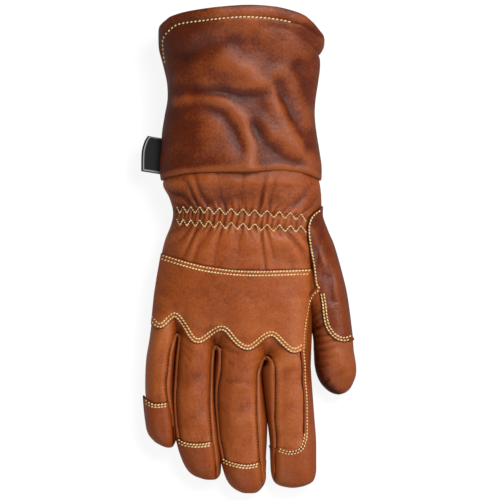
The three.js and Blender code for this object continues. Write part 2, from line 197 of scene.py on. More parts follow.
# Where two fingers part, from side to side, and how far the hand sinks towards there
CROTCH_X = (-85, -53.2, -22.6, 14.7, 50)
CROTCH_Y = (-56, -63.2, -72.2, -80.0, -88)
CROTCH_REACH = 20
CROTCH_SINK = 6
CROTCH_SLOPE = 2.5
KNUCKLE_SLOPE = 0.5

# Seams between a finger's back and its fourchettes, from the crotch down, and the lines above them
# that part the fingers' shares of the hand's back
BETWEEN = {
    "little_ring": [(-33.9, 58), (-34, 20), (-42, -10), (-49, -40), (-52.2, -61.2)],
    "ring_middle": [(-6.1, 58), (-6, 20), (-12, -10), (-19, -40), (-22.6, -70.2)],
    "middle_index": [(21.6, 58), (22, 20), (19, -10), (16, -40), (14.7, -78)],
}
SEAMS = {
    "little_right": [(-53.5, -63.2), (-55.4, -68.4), (-57.5, -75.6), (-58.9, -88), (-60, -98.9),
                     (-58.9, -110), (-56.8, -124.5), (-55.9, -139)],
    "ring_left": [(-50.9, -63.2), (-51.1, -73.4), (-52, -88), (-53.1, -106), (-52.4, -124.5), (-50.4, -139),
                  (-47.4, -160)],
    "ring_right": [(-24.2, -72.2), (-26.3, -76.0), (-27.2, -83.4), (-27.6, -95.3), (-28.1, -110),
                   (-27.6, -124.5), (-26.5, -139), (-25, -152), (-24.6, -164)],
    "middle_left": [(-21, -72.2), (-20.3, -77), (-20.6, -88), (-22.4, -99), (-23, -110), (-22.1, -132),
                    (-18.4, -150), (-16, -164), (-14, -175)],
    "middle_right": [(12.6, -80), (8.6, -85.4), (6.6, -90.6), (6.2, -99), (6, -110), (6.2, -124.5),
                     (7.1, -139), (8.2, -155), (9.3, -167), (9.3, -175)],
    "index_left": [(16.6, -80), (18.6, -85.4), (19, -92.6), (18.9, -110), (18.7, -124.5), (19.7, -135.4),
                   (19.9, -148), (19.9, -170)],
}
# The thumb patch's edge from the wrist to the fork of the thumb, and the index wrap's row of stitches
# from there to the fingertip's inner side, whose point WRAP_CORNER is where it turns across the finger
WRIST_TO_FORK = [(53.5, 31.8), (51.3, 29.9), (45.4, 25.2), (42.5, 17.9), (42.5, 10.6), (44, -0.4),
                 (46.2, -12), (48, -25.9), (50.6, -29.6)]
INDEX_WRAP_ROW = [(51.2, -29.9), (49.1, -31), (46.6, -33.7), (44.7, -37.6), (43.3, -42.3), (42.3, -48.5),
                  (41.3, -55.1), (40.3, -63), (40, -70), (40.1, -76), (40.9, -84.3), (41.2, -96),
                  (42.1, -104.8), (42.4, -114.2), (42.5, -123.7), (42.5, -134.3), (41.4, -141),
                  (39.4, -145.6), (36, -148.1), (30.8, -149.3), (25.7, -148.6), (21.4, -146.8),
                  (14.6, -145.2)]
WRAP_CORNER = 15
WRAP_EDGE_OFF = 2.7
UNDER_THE_WRAP = 3.0
PATCH_TOP_Y = WRIST_TO_FORK[0][1]
KNUCKLE_Y = FINGERS["ring"][0][0]
# x and y of a wrinkle's ends, width, height
BACK_WRINKLES = [
    ((-51, -67.5), (-42, -74.5), 1.4, -0.5),
    ((-50.5, -72), (-43.5, -80.5), 1.4, -0.5),
    ((-50, -78), (-46, -86), 1.2, -0.35),
    ((-19, -71.5), (-9, -75), 1.5, -0.5),
    ((-19, -77), (-12, -84), 1.3, -0.4),
    ((8, -79), (0, -83), 1.4, -0.45),
    ((-24, -65), (-33, -70), 1.4, -0.4),
    ((-16, -96), (2, -98), 2.2, -0.35),
    ((-14, -104), (4, -105), 2.4, -0.3),
    ((24, -88), (34, -90), 2.0, -0.3),
]

# The back's leather runs from under the cuff down to under the tip caps, with rows closer on the hand
UNDER_CUFF = 64.3
HAND_ROW_STEP = 0.9
FINGER_ROW_STEP = 1.3
FINGER_ROWS_FROM = -30
BACK_ENDS = {"little": -118, "ring": -148, "middle": -163, "index": -152}
HAND_LEATHER = 1.3
PEBBLES_PER_METRE = 1150
LEATHER_ROUGHNESS = 0.34
PATCHY = 0.22

# Elastic: the two zigzag rows and the gathers that they draw in
ZIGZAG_X = (-53, -46, -32, -19, -4.6, 15.4, 32.5, 43)
ZIGZAG_UPPER_Y = (28.6, 29.0, 28.5, 27.8, 27.2, 25.9, 24.4, 22.6)
ZIGZAG_LOWER_Y = (19.9, 19.5, 18.7, 17.8, 16.8, 15.8, 15.2, 14.8)
ZIGZAG_PEAKS = (-52.6, -47.8, -42.2, -35.8, -29.2, -21.4, -12.8, -4.2, 4.3, 13.4, 22.4, 30.4, 38.1, 45.5)
ZIGZAG_HALF_HEIGHT = 2.7
ZIGZAG_MIDDLE = -5.0
GATHER_HEIGHT = 1.2
GATHER_REACH = 5.5
FAN_HEIGHT = 2.1
FAN_REACH = 27.0
FAN_SPREAD = 0.026
VALLEY_REACH = 5.0
VALLEY_SHARE = 0.8
DRAWN_DEPTH = 0.7
DRAWN_WIDTH = 1.7
WRIST_SHADE = 0.22
WRIST_SHADE_FROM = 2


def along(rows, per_row=16):
    """A Catmull-Rom curve through the rows of a table, each column by itself, per_row places to a row."""
    rows = np.array(rows, float)
    place = np.linspace(0, len(rows) - 1, (len(rows) - 1) * per_row + 1)
    i = np.minimum(place.astype(int), len(rows) - 2)
    t = (place - i)[:, None]
    held = np.vstack([rows[:1], rows, rows[-1:]])
    a, b, c, d = (held[i + k] for k in range(4))
    return 0.5 * (2 * b + (c - a) * t + (2 * a - 5 * b + 4 * c - d) * t**2 + (3 * b - a - 3 * c + d) * t**3)


def sections(rows):
    """The smooth sections of a limb as a function: its table's columns at any y, read off along()."""
    curve = along(rows)[::-1]
    return lambda y: [np.interp(y, curve[:, 0], curve[:, k]) for k in range(1, curve.shape[1])]


def tipped(rows):
    """A finger's table with one more row, a point just past the last one, which rounds the tip off."""
    y, left, right = rows[-1][:3]
    middle = (left + right) / 2
    return [*rows, (y - TIP_ROUND, middle, middle, TIP_HEIGHT, TIP_HEIGHT)]


def across_limb(section, x, y):
    """A limb's bottom, widest and top heights, its rise (1 - a^2.3)^(1/2.3), where a runs from 0 mid limb to
    1 at its sides, and a steep slope that starts at the sides."""
    left, right, bottom, top = section(y)[:4]
    half_width = np.maximum((right - left) / 2, 0.01)
    a = np.abs(x - (left + right) / 2) / half_width
    widest = bottom + (top - bottom) * WIDEST_AT
    rise = (1 - np.minimum(a, 1) ** ROUNDNESS) ** (1 / ROUNDNESS)
    return bottom, widest, top, rise, OUTSIDE_SLOPE * half_width * np.maximum(a - 1, 0)


def dome(section, x, y):
    """Height of a limb's back: widest + (top - widest) * rise, falling steeply outside its sides."""
    _, widest, top, rise, outside = across_limb(section, x, y)
    return widest + (top - widest) * rise - outside


def bowl(section, x, y):
    """Height of a limb's palm side: widest - (widest - bottom) * rise, rising steeply outside its sides."""
    bottom, widest, _, rise, outside = across_limb(section, x, y)
    return widest - (widest - bottom) * rise + outside


def soft_max(a, b, blend=6.0):
    """The larger of two heights, rounded where they differ by less than blend, by adding
    (blend - |a - b|)^2 / (4 blend)."""
    return np.maximum(a, b) + np.maximum(blend - np.abs(a - b), 0) ** 2 / (4 * blend)


def smooth(t):
    """Smoothstep from 0 to 1: 3t^2 - 2t^3 on t held to 0..1."""
    t = np.clip(t, 0, 1)
    return t * t * (3 - 2 * t)


def wander(x, y, wave, seed, count=14):
    """Slow unevenness from -1 to 1 or so: the sum of count plane waves near one wavelength, whose headings,
    lengths and phases the seed sets."""
    draw = np.random.default_rng(seed)
    heading = draw.uniform(0, 2 * np.pi, count)
    length = wave * draw.uniform(0.7, 1.5, count)
    phase = draw.uniform(0, 2 * np.pi, count)
    total = 0
    for k in range(count):
        run = x * np.cos(heading[k]) + y * np.sin(heading[k])
        total = total + np.sin(2 * np.pi * run / length[k] + phase[k])
    return total / np.sqrt(count)


def row_at(points):
    """A line in plan as a function: x at any y, on the smooth curve through its points."""
    line = along(points)
    order = np.argsort(line[:, 1])
    return lambda y: np.interp(y, line[order, 1], line[order, 0])


hand_section = sections(WRIST_AND_HAND)
finger_sections = {name: sections(tipped(rows)) for name, rows in FINGERS.items()}


def crotch_distance(x, y):
    """How far a point lies above the line of crotches, in mm: negative down the fingers."""
    return y - np.interp(x, CROTCH_X, CROTCH_Y)


def untilted(x, y):
    """The section table's y for a point of the hand: y less the slant times x."""
    slant = hand_section(y)[4]
    return y - slant * x


def folds_at(x, y, folds):
    """Sum of straight folds: each adds its height times a bell curve of the distance to its line."""
    total = 0
    for (x0, y0), (x1, y1), width, height in folds:
        run_x, run_y = x1 - x0, y1 - y0
        t = np.clip(((x - x0) * run_x + (y - y0) * run_y) / (run_x**2 + run_y**2), 0, 1)
        distance = np.hypot(x - x0 - t * run_x, y - y0 - t * run_y)
        total = total + height * np.exp(-((distance / width) ** 2))
    return total


def gathers(x, y):
    """Ripples of the elastic wrist: arches |sin| between sharp valleys, two to a zigzag tooth at the rows,
    and broader ones that fan out beyond them, where x is drawn in towards the middle by 1 + spread times
    distance. Each row of thread lies in a groove, a bell curve of the distance to it."""
    upper = np.interp(x, ZIGZAG_X, ZIGZAG_UPPER_Y)
    lower = np.interp(x, ZIGZAG_X, ZIGZAG_LOWER_Y)
    off = np.maximum(np.maximum(y - upper, lower - y), 0)
    drawn_x = ZIGZAG_MIDDLE + (x - ZIGZAG_MIDDLE) / (1 + FAN_SPREAD * off)
    tooth = np.interp(drawn_x, ZIGZAG_PEAKS, np.arange(len(ZIGZAG_PEAKS)))
    slant = 0.45 * np.clip((y - (upper + lower) / 2) / (upper - lower), -0.5, 0.5)
    drift = 0.22 * wander(x, y * 0.15, 26, 3)
    fine = np.abs(np.sin(np.pi * (2 * tooth - slant + drift))) ** 0.9 - 0.6
    broad = np.abs(np.sin(np.pi * (0.86 * tooth + 1.6 * drift + 0.2))) ** 0.9 - 0.6
    uneven = np.clip(0.85 + 0.4 * wander(x, y * 0.6, 17, 5), 0.5, 1.3)
    ripple = GATHER_HEIGHT * fine * np.exp(-((off / GATHER_REACH) ** 2))
    fan_share = np.exp(-((off / FAN_REACH) ** 2)) - VALLEY_SHARE * np.exp(-((off / VALLEY_REACH) ** 2))
    fan = FAN_HEIGHT * uneven * broad * fan_share
    at_upper = np.exp(-(((y - upper) / DRAWN_WIDTH) ** 2))
    at_lower = np.exp(-(((y - lower) / DRAWN_WIDTH) ** 2))
    return ripple + fan - DRAWN_DEPTH * (at_upper + at_lower)


def hand_top(x, y):
    """Height of the hand's back without the fingers: its dome, sinking towards the crotches."""
    flat_y = untilted(x, y)
    above = crotch_distance(x, y)
    sink = CROTCH_SINK * smooth(1 - above / CROTCH_REACH) + CROTCH_SLOPE * np.maximum(-above, 0)
    return dome(hand_section, x, flat_y) - sink


def back_top(x, y):
    """Height of the glove's back: the soft maximum of the hand and the four fingers."""
    height = hand_top(x, y)
    for section in finger_sections.values():
        fading = KNUCKLE_SLOPE * np.maximum(y - KNUCKLE_Y, 0)
        height = soft_max(height, dome(section, x, np.minimum(y, KNUCKLE_Y)) - fading)
    return height


def back_leather(x, y):
    """The back as sewn: back_top, the wrist's gathers, the wrinkles and a slow unevenness of the leather."""
    leather_waves = 0.35 * wander(x, y, 26, 8) + 0.15 * wander(x, y, 11, 9)
    return back_top(x, y) + gathers(x, y) + leather_waves + folds_at(x, y, BACK_WRINKLES)


def hand_left(y):
    """The little finger side of the outline: from the hand's side to the finger's, by smoothstep."""
    blend = smooth((-25 - y) / 30)
    own = hand_section(y + 0.1 * np.clip(-y - 20, 0, 60))[0]
    return own + (finger_sections["little"](y)[0] - own) * blend


def seam_valley(distance, depth=0.8, width=0.9, puff=0.45):
    """Height beside a seam: a groove at it and a low swelling 3 mm in, both bell curves of the distance."""
    return puff * np.exp(-(((distance - 3.2) / 2.2) ** 2)) - depth * np.exp(-((distance / width) ** 2))


def normals_of(points):
    """Unit normals of a grid that runs to -Y by rows and to +X by columns: its two slopes' cross product."""
    normal = np.cross(np.gradient(points, axis=0), np.gradient(points, axis=1))
    return normal / np.maximum(np.linalg.norm(normal, axis=2, keepdims=True), 1e-9)


def grid_faces(rows, columns, start=0, closed=False):
    """Corner numbers of a grid's quads, facing the way normals_of does. A closed grid joins its last column
    to its first."""
    last = columns if closed else columns - 1
    i, j = (part.ravel() for part in np.meshgrid(np.arange(rows - 1), np.arange(last), indexing="ij"))
    k = (j + 1) % columns
    corners = [i * columns + j, (i + 1) * columns + j, (i + 1) * columns + k, i * columns + k]
    return np.stack(corners, axis=1) + start


def blurred(values, reach):
    """A grid's values averaged over reach steps to each side, rows and then columns."""
    for axis in (0, 1):
        before = np.repeat(values.take([0], axis), reach, axis)
        after = np.repeat(values.take([-1], axis), reach, axis)
        total = np.cumsum(np.concatenate([before, values, after], axis), axis)
        first = np.zeros_like(total.take([0], axis))
        total = np.concatenate([first, total], axis)
        count = values.shape[axis]
        ahead = total.take(np.arange(count) + 2 * reach + 1, axis)
        values = (ahead - total.take(np.arange(count), axis)) / (2 * reach + 1)
    return values


def relief_of(points, normals, reach=6, scale=1.3):
    """How far each grid point stands out from its blurred surroundings: 0.5 level, 1 on ridges, 0 in creases,
    reached at scale mm."""
    out = ((points - blurred(points, reach)) * normals).sum(2)
    return np.clip(0.5 + out / (2 * scale), 0, 1)


def on_glove(name, mesh, material):
    """A finished mesh as an object that rides on the glove's one body."""
    mesh.shade_smooth()
    mesh.materials.append(material)
    piece = bpy.data.objects.new(name, mesh)
    bpy.context.scene.collection.objects.link(piece)
    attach(piece, "root")
    return piece


def leather_object(name, points, faces, relief, material, merge=0.002):
    """A mesh object from points in mm, quads and a relief value for each point, doubled points merged."""
    mesh = bpy.data.meshes.new(name)
    mesh.from_pydata(points * 0.001, [], faces.tolist())
    mesh.attributes.new("relief", "FLOAT", "POINT").data.foreach_set("value", relief.astype(np.float32))
    work = bmesh.new()
    work.from_mesh(mesh)
    bmesh.ops.remove_doubles(work, verts=work.verts, dist=merge * 0.001)
    bmesh.ops.dissolve_degenerate(work, edges=work.edges, dist=merge * 0.001)
    work.to_mesh(mesh)
    work.free()
    return on_glove(name, mesh, material)


def sheets(name, grids, material, thickness, shade=lambda x, y: 0 * x):
    """One object from several grids that share their borders, given a wall on the inside by a Solidify
    modifier. The shade at each point is taken off the relief attribute."""
    points, faces, relief, start = [], [], [], 0
    for grid in grids:
        rows, columns = grid.shape[:2]
        points.append(grid.reshape(-1, 3))
        relief.append((relief_of(grid, normals_of(grid)) - shade(grid[..., 0], grid[..., 1])).ravel())
        faces.append(grid_faces(rows, columns, start))
        start += rows * columns
    piece = leather_object(name, np.vstack(points), np.vstack(faces), np.concatenate(relief), material)
    wall = piece.modifiers.new("leather", "SOLIDIFY")
    wall.thickness = thickness * 0.001
    wall.offset = -1
    return piece


def srgb(red, green, blue):
    """A screen colour from 0 to 255 as linear light from 0 to 1."""
    share = np.array([red, green, blue]) / 255
    return tuple(np.where(share <= 0.04045, share / 12.92, ((share + 0.055) / 1.055) ** 2.4))


def colour_ramp(nodes, links, factor, stops):
    """The colour at a factor between stops, each a place from 0 to 1 and a colour."""
    node = nodes.new("ShaderNodeValToRGB")
    first, last = node.color_ramp.elements
    first.position, first.color = stops[0][0], (*stops[0][1], 1)
    last.position, last.color = stops[-1][0], (*stops[-1][1], 1)
    for place, colour in stops[1:-1]:
        node.color_ramp.elements.new(place).color = (*colour, 1)
    links.new(factor, node.inputs["Fac"])
    return node.outputs["Color"]


def add_bump(nodes, links, shader, height, strength, distance):
    """Turns a height into the shader's bump, by a strength from 0 to 1 and a distance in metres."""
    bump = nodes.new("ShaderNodeBump")
    bump.inputs["Strength"].default_value = strength
    bump.inputs["Distance"].default_value = distance
    links.new(height, bump.inputs["Height"])
    links.new(bump.outputs["Normal"], shader.inputs["Normal"])


def leather(name, dark, middle, light):
    """Oiled cowhide: slow mottling between three browns, painted shade in creases and a painted highlight on
    ridges by the relief attribute, a fine pebble grain with wandering wrinkles in the bump, and a gloss that
    a noise breaks up."""
    material, nodes, links, shader = plain_material(name, middle, LEATHER_ROUGHNESS)
    place = nodes.new("ShaderNodeTexCoord")

    def noise(scale, detail, distortion=0.0):
        node = nodes.new("ShaderNodeTexNoise")
        node.inputs["Scale"].default_value = scale
        node.inputs["Detail"].default_value = detail
        node.inputs["Distortion"].default_value = distortion
        links.new(place.outputs["Object"], node.inputs["Vector"])
        return node.outputs["Fac"]

    def arithmetic(kind, first, second):
        node = nodes.new("ShaderNodeMath")
        node.operation = kind
        for socket, value in zip(node.inputs, (first, second)):
            if isinstance(value, (int, float)):
                socket.default_value = value
            else:
                links.new(value, socket)
        return node.outputs[0]

    # Tone: broad clouds, a fine mottle, and the relief, on a ramp of the three browns. The relief paints
    # shade into creases and a highlight on to ridges
    relief = nodes.new("ShaderNodeAttribute")
    relief.attribute_name = "relief"
    slow = arithmetic("MULTIPLY", noise(20, 3, 0.4), 0.55)
    mottle = arithmetic("MULTIPLY", noise(600, 3, 0.3), 0.45)
    relief_shading = arithmetic("MULTIPLY", relief.outputs["Fac"], 0.62)
    tone = arithmetic("ADD", arithmetic("ADD", slow, mottle), arithmetic("SUBTRACT", relief_shading, 0.26))
    browns = colour_ramp(nodes, links, tone, [(0.24, dark), (0.55, middle), (0.86, light)])
    links.new(browns, shader.inputs["Base Color"])

    # Grain: pebbles under a millimetre wide, wandering wrinkles, and unevenness of two sizes
    cells = nodes.new("ShaderNodeTexVoronoi")
    cells.feature = "DISTANCE_TO_EDGE"
    cells.inputs["Scale"].default_value = PEBBLES_PER_METRE
    links.new(place.outputs["Object"], cells.inputs["Vector"])
    pebbles = arithmetic("MINIMUM", cells.outputs["Distance"], 0.22)
    wrinkle = arithmetic("ABSOLUTE", arithmetic("SUBTRACT", noise(120, 4, 1.2), 0.5), 0)
    wrinkle = arithmetic("MINIMUM", wrinkle, 0.06)
    grain = arithmetic("ADD", arithmetic("MULTIPLY", pebbles, 1.2), arithmetic("MULTIPLY", wrinkle, 2.4))
    grain = arithmetic("ADD", grain, arithmetic("MULTIPLY", noise(60, 5, 0.4), 0.7))
    grain = arithmetic("ADD", grain, arithmetic("MULTIPLY", noise(420, 3, 0.5), 1.1))
    add_bump(nodes, links, shader, grain, 0.4, 0.0006)

    # Gloss: worn smoother in patches a few millimetres wide
    gloss = arithmetic("ADD", arithmetic("MULTIPLY", noise(300, 3), PATCHY), LEATHER_ROUGHNESS - PATCHY / 2)
    links.new(gloss, shader.inputs["Roughness"])
    return material


BACK_TAN = leather("back_leather", srgb(92, 34, 5), srgb(150, 71, 23), srgb(176, 96, 44))

lines = {name: row_at(BETWEEN[name]) for name in BETWEEN}
seams = {name: row_at(points) for name, points in SEAMS.items()}
wrap_edge = [(x - WRAP_EDGE_OFF, y) for x, y in INDEX_WRAP_ROW[2 : WRAP_CORNER + 1]]
wrapped_edge = row_at([*WRIST_TO_FORK[:-1], *wrap_edge])


def parted(line, seam, y):
    """The border of a finger's share of the back: the parting line above the crotch, its seam below."""
    crotch = BETWEEN[line][-1][1]
    return np.where(y >= crotch, lines[line](y), seams[seam](y))


def back_right(y):
    """Right border of the back: the wrist's side, and below it a margin under the wrapped palm leather."""
    side = hand_section(y)[1]
    margin = UNDER_THE_WRAP + 14 * smooth((y - 4) / 14)
    edge = wrapped_edge(np.minimum(y, PATCH_TOP_Y))
    return np.where(y > PATCH_TOP_Y, side, np.minimum(edge + margin, side))


BACK_BORDERS = {
    "little": (hand_left, lambda y: parted("little_ring", "little_right", y)),
    "ring": (
        lambda y: parted("little_ring", "ring_left", y),
        lambda y: parted("ring_middle", "ring_right", y),
    ),
    "middle": (
        lambda y: parted("ring_middle", "middle_left", y),
        lambda y: parted("middle_index", "middle_right", y),
    ),
    "index": (lambda y: parted("middle_index", "index_left", y), back_right),
}
ACROSS = 56
back_grids = {}
for finger, (left_border, right_border) in BACK_BORDERS.items():
    hand_rows = np.arange(UNDER_CUFF, FINGER_ROWS_FROM, -HAND_ROW_STEP)
    y = np.concatenate([hand_rows, np.arange(FINGER_ROWS_FROM - 0.2, BACK_ENDS[finger], -FINGER_ROW_STEP)])
    t = np.linspace(0, 1, ACROSS)
    spread = {"little": 1 - np.cos(np.pi / 2 * t), "index": np.sin(np.pi / 2 * t)}.get(finger, t)
    left, right = left_border(y)[:, None], right_border(y)[:, None]
    x = left + (right - left) * spread
    plan_y = np.repeat(y[:, None], ACROSS, axis=1)
    z = back_leather(x, plan_y)
    on_finger = smooth((4 - crotch_distance(x, plan_y)) / 6)
    if finger != "little":
        z = z + on_finger * seam_valley(x - left)
    if finger != "index":
        z = z + on_finger * seam_valley(right - x)
    back_grids[finger] = np.stack([x, plan_y, z], axis=2)


def wrist_shade(x, y):
    """The leather is darker from the elastic up to the cuff: WRIST_SHADE times smoothstep over 30 mm of y."""
    return WRIST_SHADE * smooth((y - WRIST_SHADE_FROM + 0 * x) / 30)


hand_back = sheets("back_of_hand", list(back_grids.values()), BACK_TAN, HAND_LEATHER, wrist_shade)
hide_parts("hand_back")

# Palm
# The palm and the finger fronts are one plain piece of darker leather, flat where the glove rests on it.
# It meets the back, the fourchettes and the thumb patch at the side seams.
THUMB = [
    # y, left, right, bottom, top
    (32.5, 36.0, 50.6, 4, 26.0),
    (12.8, 35.2, 58.2, 0, 33.0),
    (1.8, 36.0, 62.8, -2, 35.0),
    (-22.3, 38.1, 69.5, -4, 36.5),
    (-36.9, 41.1, 72.5, -4, 36.0),
    (-62.4, 46.5, 75.8, -4, 33.0),
    (-73.4, 47.3, 76.7, -4, 31.0),
    (-84.3, 48.0, 78.4, -3, 29.0),
    (-91.6, 49.6, 78.3, -2, 26.4),
    (-97.5, 52.4, 76.3, 0, 23.4),
    (-101.6, 56.0, 74.0, 2, 20.6),
    (-104.2, 59.4, 71.2, 5, 18.0),
    (-105.6, 62.8, 67.9, 7, 15.6),
]
THUMB_ROOT_Y = THUMB[0][0]
THUMB_JOINS_Y = -60
PALM_RISE = 12
PALM_RISE_REACH = 7
SIDE_EASE = 5.0
PALM_TAN = leather("palm_leather", srgb(46, 12, 1), srgb(100, 36, 4), srgb(130, 58, 16))
thumb_section = sections(tipped(THUMB))


def right_outline(y):
    """The thumb side of the outline: the hand's side, and the thumb's where it stands out further."""
    thumb_side = np.where(y < THUMB_ROOT_Y, thumb_section(y)[1], -999.0)
    return soft_max(hand_section(y)[1], thumb_side, 3.0)


def thumb_side_top(x, y):
    """Height of the hand's back where the thumb joins it: the soft maximum of the two domes."""
    thumb_dome = dome(thumb_section, x, y) - 1.5 * np.maximum(y - THUMB_ROOT_Y, 0)
    return soft_max(hand_top(x, np.maximum(y, THUMB_JOINS_Y)), thumb_dome, 9.0)


def under_side(x, y):
    """Height of the palm side: the soft minimum of hand, thumb and fingers, flat where it rests."""
    above = crotch_distance(x, y)
    rise = PALM_RISE * smooth(1 - above / PALM_RISE_REACH) + CROTCH_SLOPE * np.maximum(-above, 0)
    height = bowl(hand_section, x, untilted(x, y)) + rise
    for section in finger_sections.values():
        fading = KNUCKLE_SLOPE * np.maximum(y - KNUCKLE_Y, 0)
        height = -soft_max(-height, -(bowl(section, x, np.minimum(y, KNUCKLE_Y)) + fading), 4.0)
    thumb = bowl(thumb_section, x, y) + 3 * np.maximum(y - THUMB_ROOT_Y, 0)
    height = np.where(y > THUMB_JOINS_Y, -soft_max(-height, -thumb, 4.0), height)
    return np.maximum(height, 0)


def finger_edge(finger, column):
    """One side of a finger's outline as a function of y."""
    return lambda y: finger_sections[finger](y)[column]


def palm_border(line, edge, y):
    """The border of a finger's share of the palm: the parting line above the crotch, its side below."""
    crotch = BETWEEN[line][-1][1]
    below = smooth((crotch - y - 2) / 22)
    return lines[line](np.maximum(y, crotch)) * (1 - below) + edge(y) * below


def palm_right(y):
    """Right border of the palm: the outline down to the fork of the thumb, then the index finger's side."""
    below = smooth((-30 - y) / 14)
    return right_outline(np.maximum(y, -44)) * (1 - below) + finger_sections["index"](y)[1] * below


PALM_BORDERS = {
    "little": (hand_left, lambda y: palm_border("little_ring", finger_edge("little", 1), y)),
    "ring": (
        lambda y: palm_border("little_ring", finger_edge("ring", 0), y),
        lambda y: palm_border("ring_middle", finger_edge("ring", 1), y),
    ),
    "middle": (
        lambda y: palm_border("ring_middle", finger_edge("middle", 0), y),
        lambda y: palm_border("middle_index", finger_edge("middle", 1), y),
    ),
    "index": (lambda y: palm_border("middle_index", finger_edge("index", 0), y), palm_right),
}
palm_grids = []
for finger, (left_border, right_border) in PALM_BORDERS.items():
    tip = along(tipped(FINGERS[finger]))[:, 0]
    y = np.concatenate([np.arange(58, -80, -1.5), np.arange(-80.5, tip[-60], -1.5), tip[-59:]])
    t = np.linspace(0, 1, 26)
    spread = (1 - np.cos(np.pi * t)) / 2
    left, right = left_border(y)[:, None], right_border(y)[:, None]
    x = left + (right - left) * spread
    plan_y = np.repeat(y[:, None], len(t), axis=1)
    z = under_side(x, plan_y)
    if finger == "little":
        z += (back_leather(left, y[:, None]) - z[:, :1]) * np.exp(-(((x - left) / SIDE_EASE) ** 2))
    if finger == "index":
        rows_y = y[:, None]
        top = np.where(rows_y > PATCH_TOP_Y, back_leather(right, rows_y), thumb_side_top(right, rows_y))
        z += (top - z[:, -1:]) * np.exp(-(((right - x) / SIDE_EASE) ** 2)) * smooth((rows_y + 32) / 6)
    palm_grids.append(np.stack([x, plan_y, z], axis=2)[:, ::-1])

palm = sheets("palm_and_finger_fronts", palm_grids, PALM_TAN, HAND_LEATHER)
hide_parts("palm")

# Knuckle strap
# A patch of the same leather lies over the knuckles, with a straight upper edge, a scalloped lower edge,
# raw cut edges, and a double row of stitches along both.
STRAP_TOP_ROW = [(-90, 4), (-73, -0.6), (-63.3, -4.3), (-45.8, -9.6), (-32.1, -13), (-11.7, -15.7),
                 (6.5, -16.4), (26.8, -15.9), (46.6, -15.1), (60, -14.6)]
STRAP_SCALLOP_ROW = [(-85, -38), (-76, -43), (-71.4, -47.8), (-65.1, -54.4), (-59, -49.3), (-54.8, -46.3),
                     (-50.9, -47.8), (-45.8, -54.4), (-40.7, -62.9), (-37.4, -65.4), (-33.4, -63.9),
                     (-25.4, -58), (-19.8, -55.9), (-15.1, -58), (-7.8, -66.6), (-2, -70.2), (2.4, -69),
                     (10.4, -62.4), (15.9, -60), (20.6, -61.7), (27.9, -69), (33, -72.4), (37.4, -70.4),
                     (41, -67.5), (50, -61)]
STRAP_LEFT_TOP_Y = -3.0
STRAP_LEFT_BOTTOM_Y = -50.5
STRAP_RIGHT_TOP_X = 46
STRAP_RIGHT_BOTTOM_X = 41
TOP_EDGE_OFF = 1.8
TOP_ROWS_APART = 2.6
SCALLOP_ROWS_APART = 2.3
SCALLOP_EDGE_OFF = 3.5
STRAP_LEATHER = 1.5
TUCK = 1.1
PATCH_LIFT = 0.15
# A dark line along each cut edge: the edge's own darker colour and a painted shadow line under it
EDGE_SHADE = 0.75
EDGE_REACH = 0.8
EDGE_ROUND = 0.75


def beside(points, distance):
    """A plan line moved to its left, seen along it, by a distance in mm."""
    line = along(points, 12)
    way = np.gradient(line, axis=0)
    way = way / np.linalg.norm(way, axis=1, keepdims=True)
    return line + distance * np.stack([-way[:, 1], way[:, 0]], axis=1)


def stations(count, length, start=True, end=True):
    """Places from 0 to 1 along a length in mm: even, with extra ones close to an end with a cut edge."""
    close = np.array([0.12, 0.35, 0.7, 1.2]) / length
    places = np.linspace(0, 1, count)
    if start:
        places = np.concatenate([places, close])
    if end:
        places = np.concatenate([places, 1 - close])
    return np.unique(np.round(places, 6))


def shell(name, base, thickness, material, raw=(True, True, True, True), under=0.0, mask=None, shade=0.0):
    """A closed sheet on a base grid: its outside is the base moved out by thickness times a quarter round of
    the distance to the nearest cut edge, its inside the base itself, or under mm below it. raw says which
    borders are cut edges: first row, last row, first column, last column. The shade, and a bell curve along
    the cut edges, are taken off the relief; the bell curve is the cut edge's own darker colour and a painted
    shadow line under it. A mask takes the relief's place in the mesh's attribute.
    Returns the object and its outside."""
    normals = normals_of(base)
    along_rows = np.linalg.norm(np.diff(base, axis=0), axis=2)
    along_columns = np.linalg.norm(np.diff(base, axis=1), axis=2)
    down = np.vstack([np.zeros((1, base.shape[1])), np.cumsum(along_rows, axis=0)])
    right = np.hstack([np.zeros((base.shape[0], 1)), np.cumsum(along_columns, axis=1)])
    reach = np.full(base.shape[:2], 1e3)
    for is_raw, distance in zip(raw, (down, down[-1:] - down, right, right[:, -1:] - right)):
        if is_raw:
            reach = np.minimum(reach, distance)
    share = np.sqrt(1 - (1 - np.clip(reach / (EDGE_ROUND * thickness), 0, 1)) ** 2)[..., None]
    outside = base + normals * thickness * share
    inside = base - normals * under * share
    rows, columns = base.shape[:2]
    count = rows * columns
    faces = [grid_faces(rows, columns), grid_faces(rows, columns, count)[:, ::-1]]
    border = np.concatenate([
        np.arange(columns),
        np.arange(1, rows) * columns + columns - 1,
        (rows - 1) * columns + np.arange(columns - 2, -1, -1),
        np.arange(rows - 2, 0, -1) * columns,
    ])
    after = np.roll(border, -1)
    faces.append(np.stack([border, after, after + count, border + count], axis=1))
    # the cut edge's darker colour and a painted shadow line, a bell curve of the distance to it
    shade = shade + EDGE_SHADE * np.exp(-((reach / EDGE_REACH) ** 2))
    relief = relief_of(outside, normals) - shade if mask is None else mask
    points = np.vstack([outside.reshape(-1, 3), inside.reshape(-1, 3)])
    piece = leather_object(name, points, np.vstack(faces), np.tile(relief.ravel(), 2), material)
    return piece, (outside, normals_of(outside))


def strap_height(x, y):
    """The strap's underside: the back's height without its gathers, so that it lies smooth there."""
    return back_top(x, y) + 0.3 * wander(x, y, 34, 12) + 0.12 * wander(x, y, 12, 13) + PATCH_LIFT


def strap_x(left_y, right_x):
    """x along one edge of the strap, from the hand's side at a y to the right end, spaced by 1 - cos."""
    left_x = hand_left(left_y)
    return left_x + (right_x - left_x) * (1 - np.cos(np.pi / 2 * u))


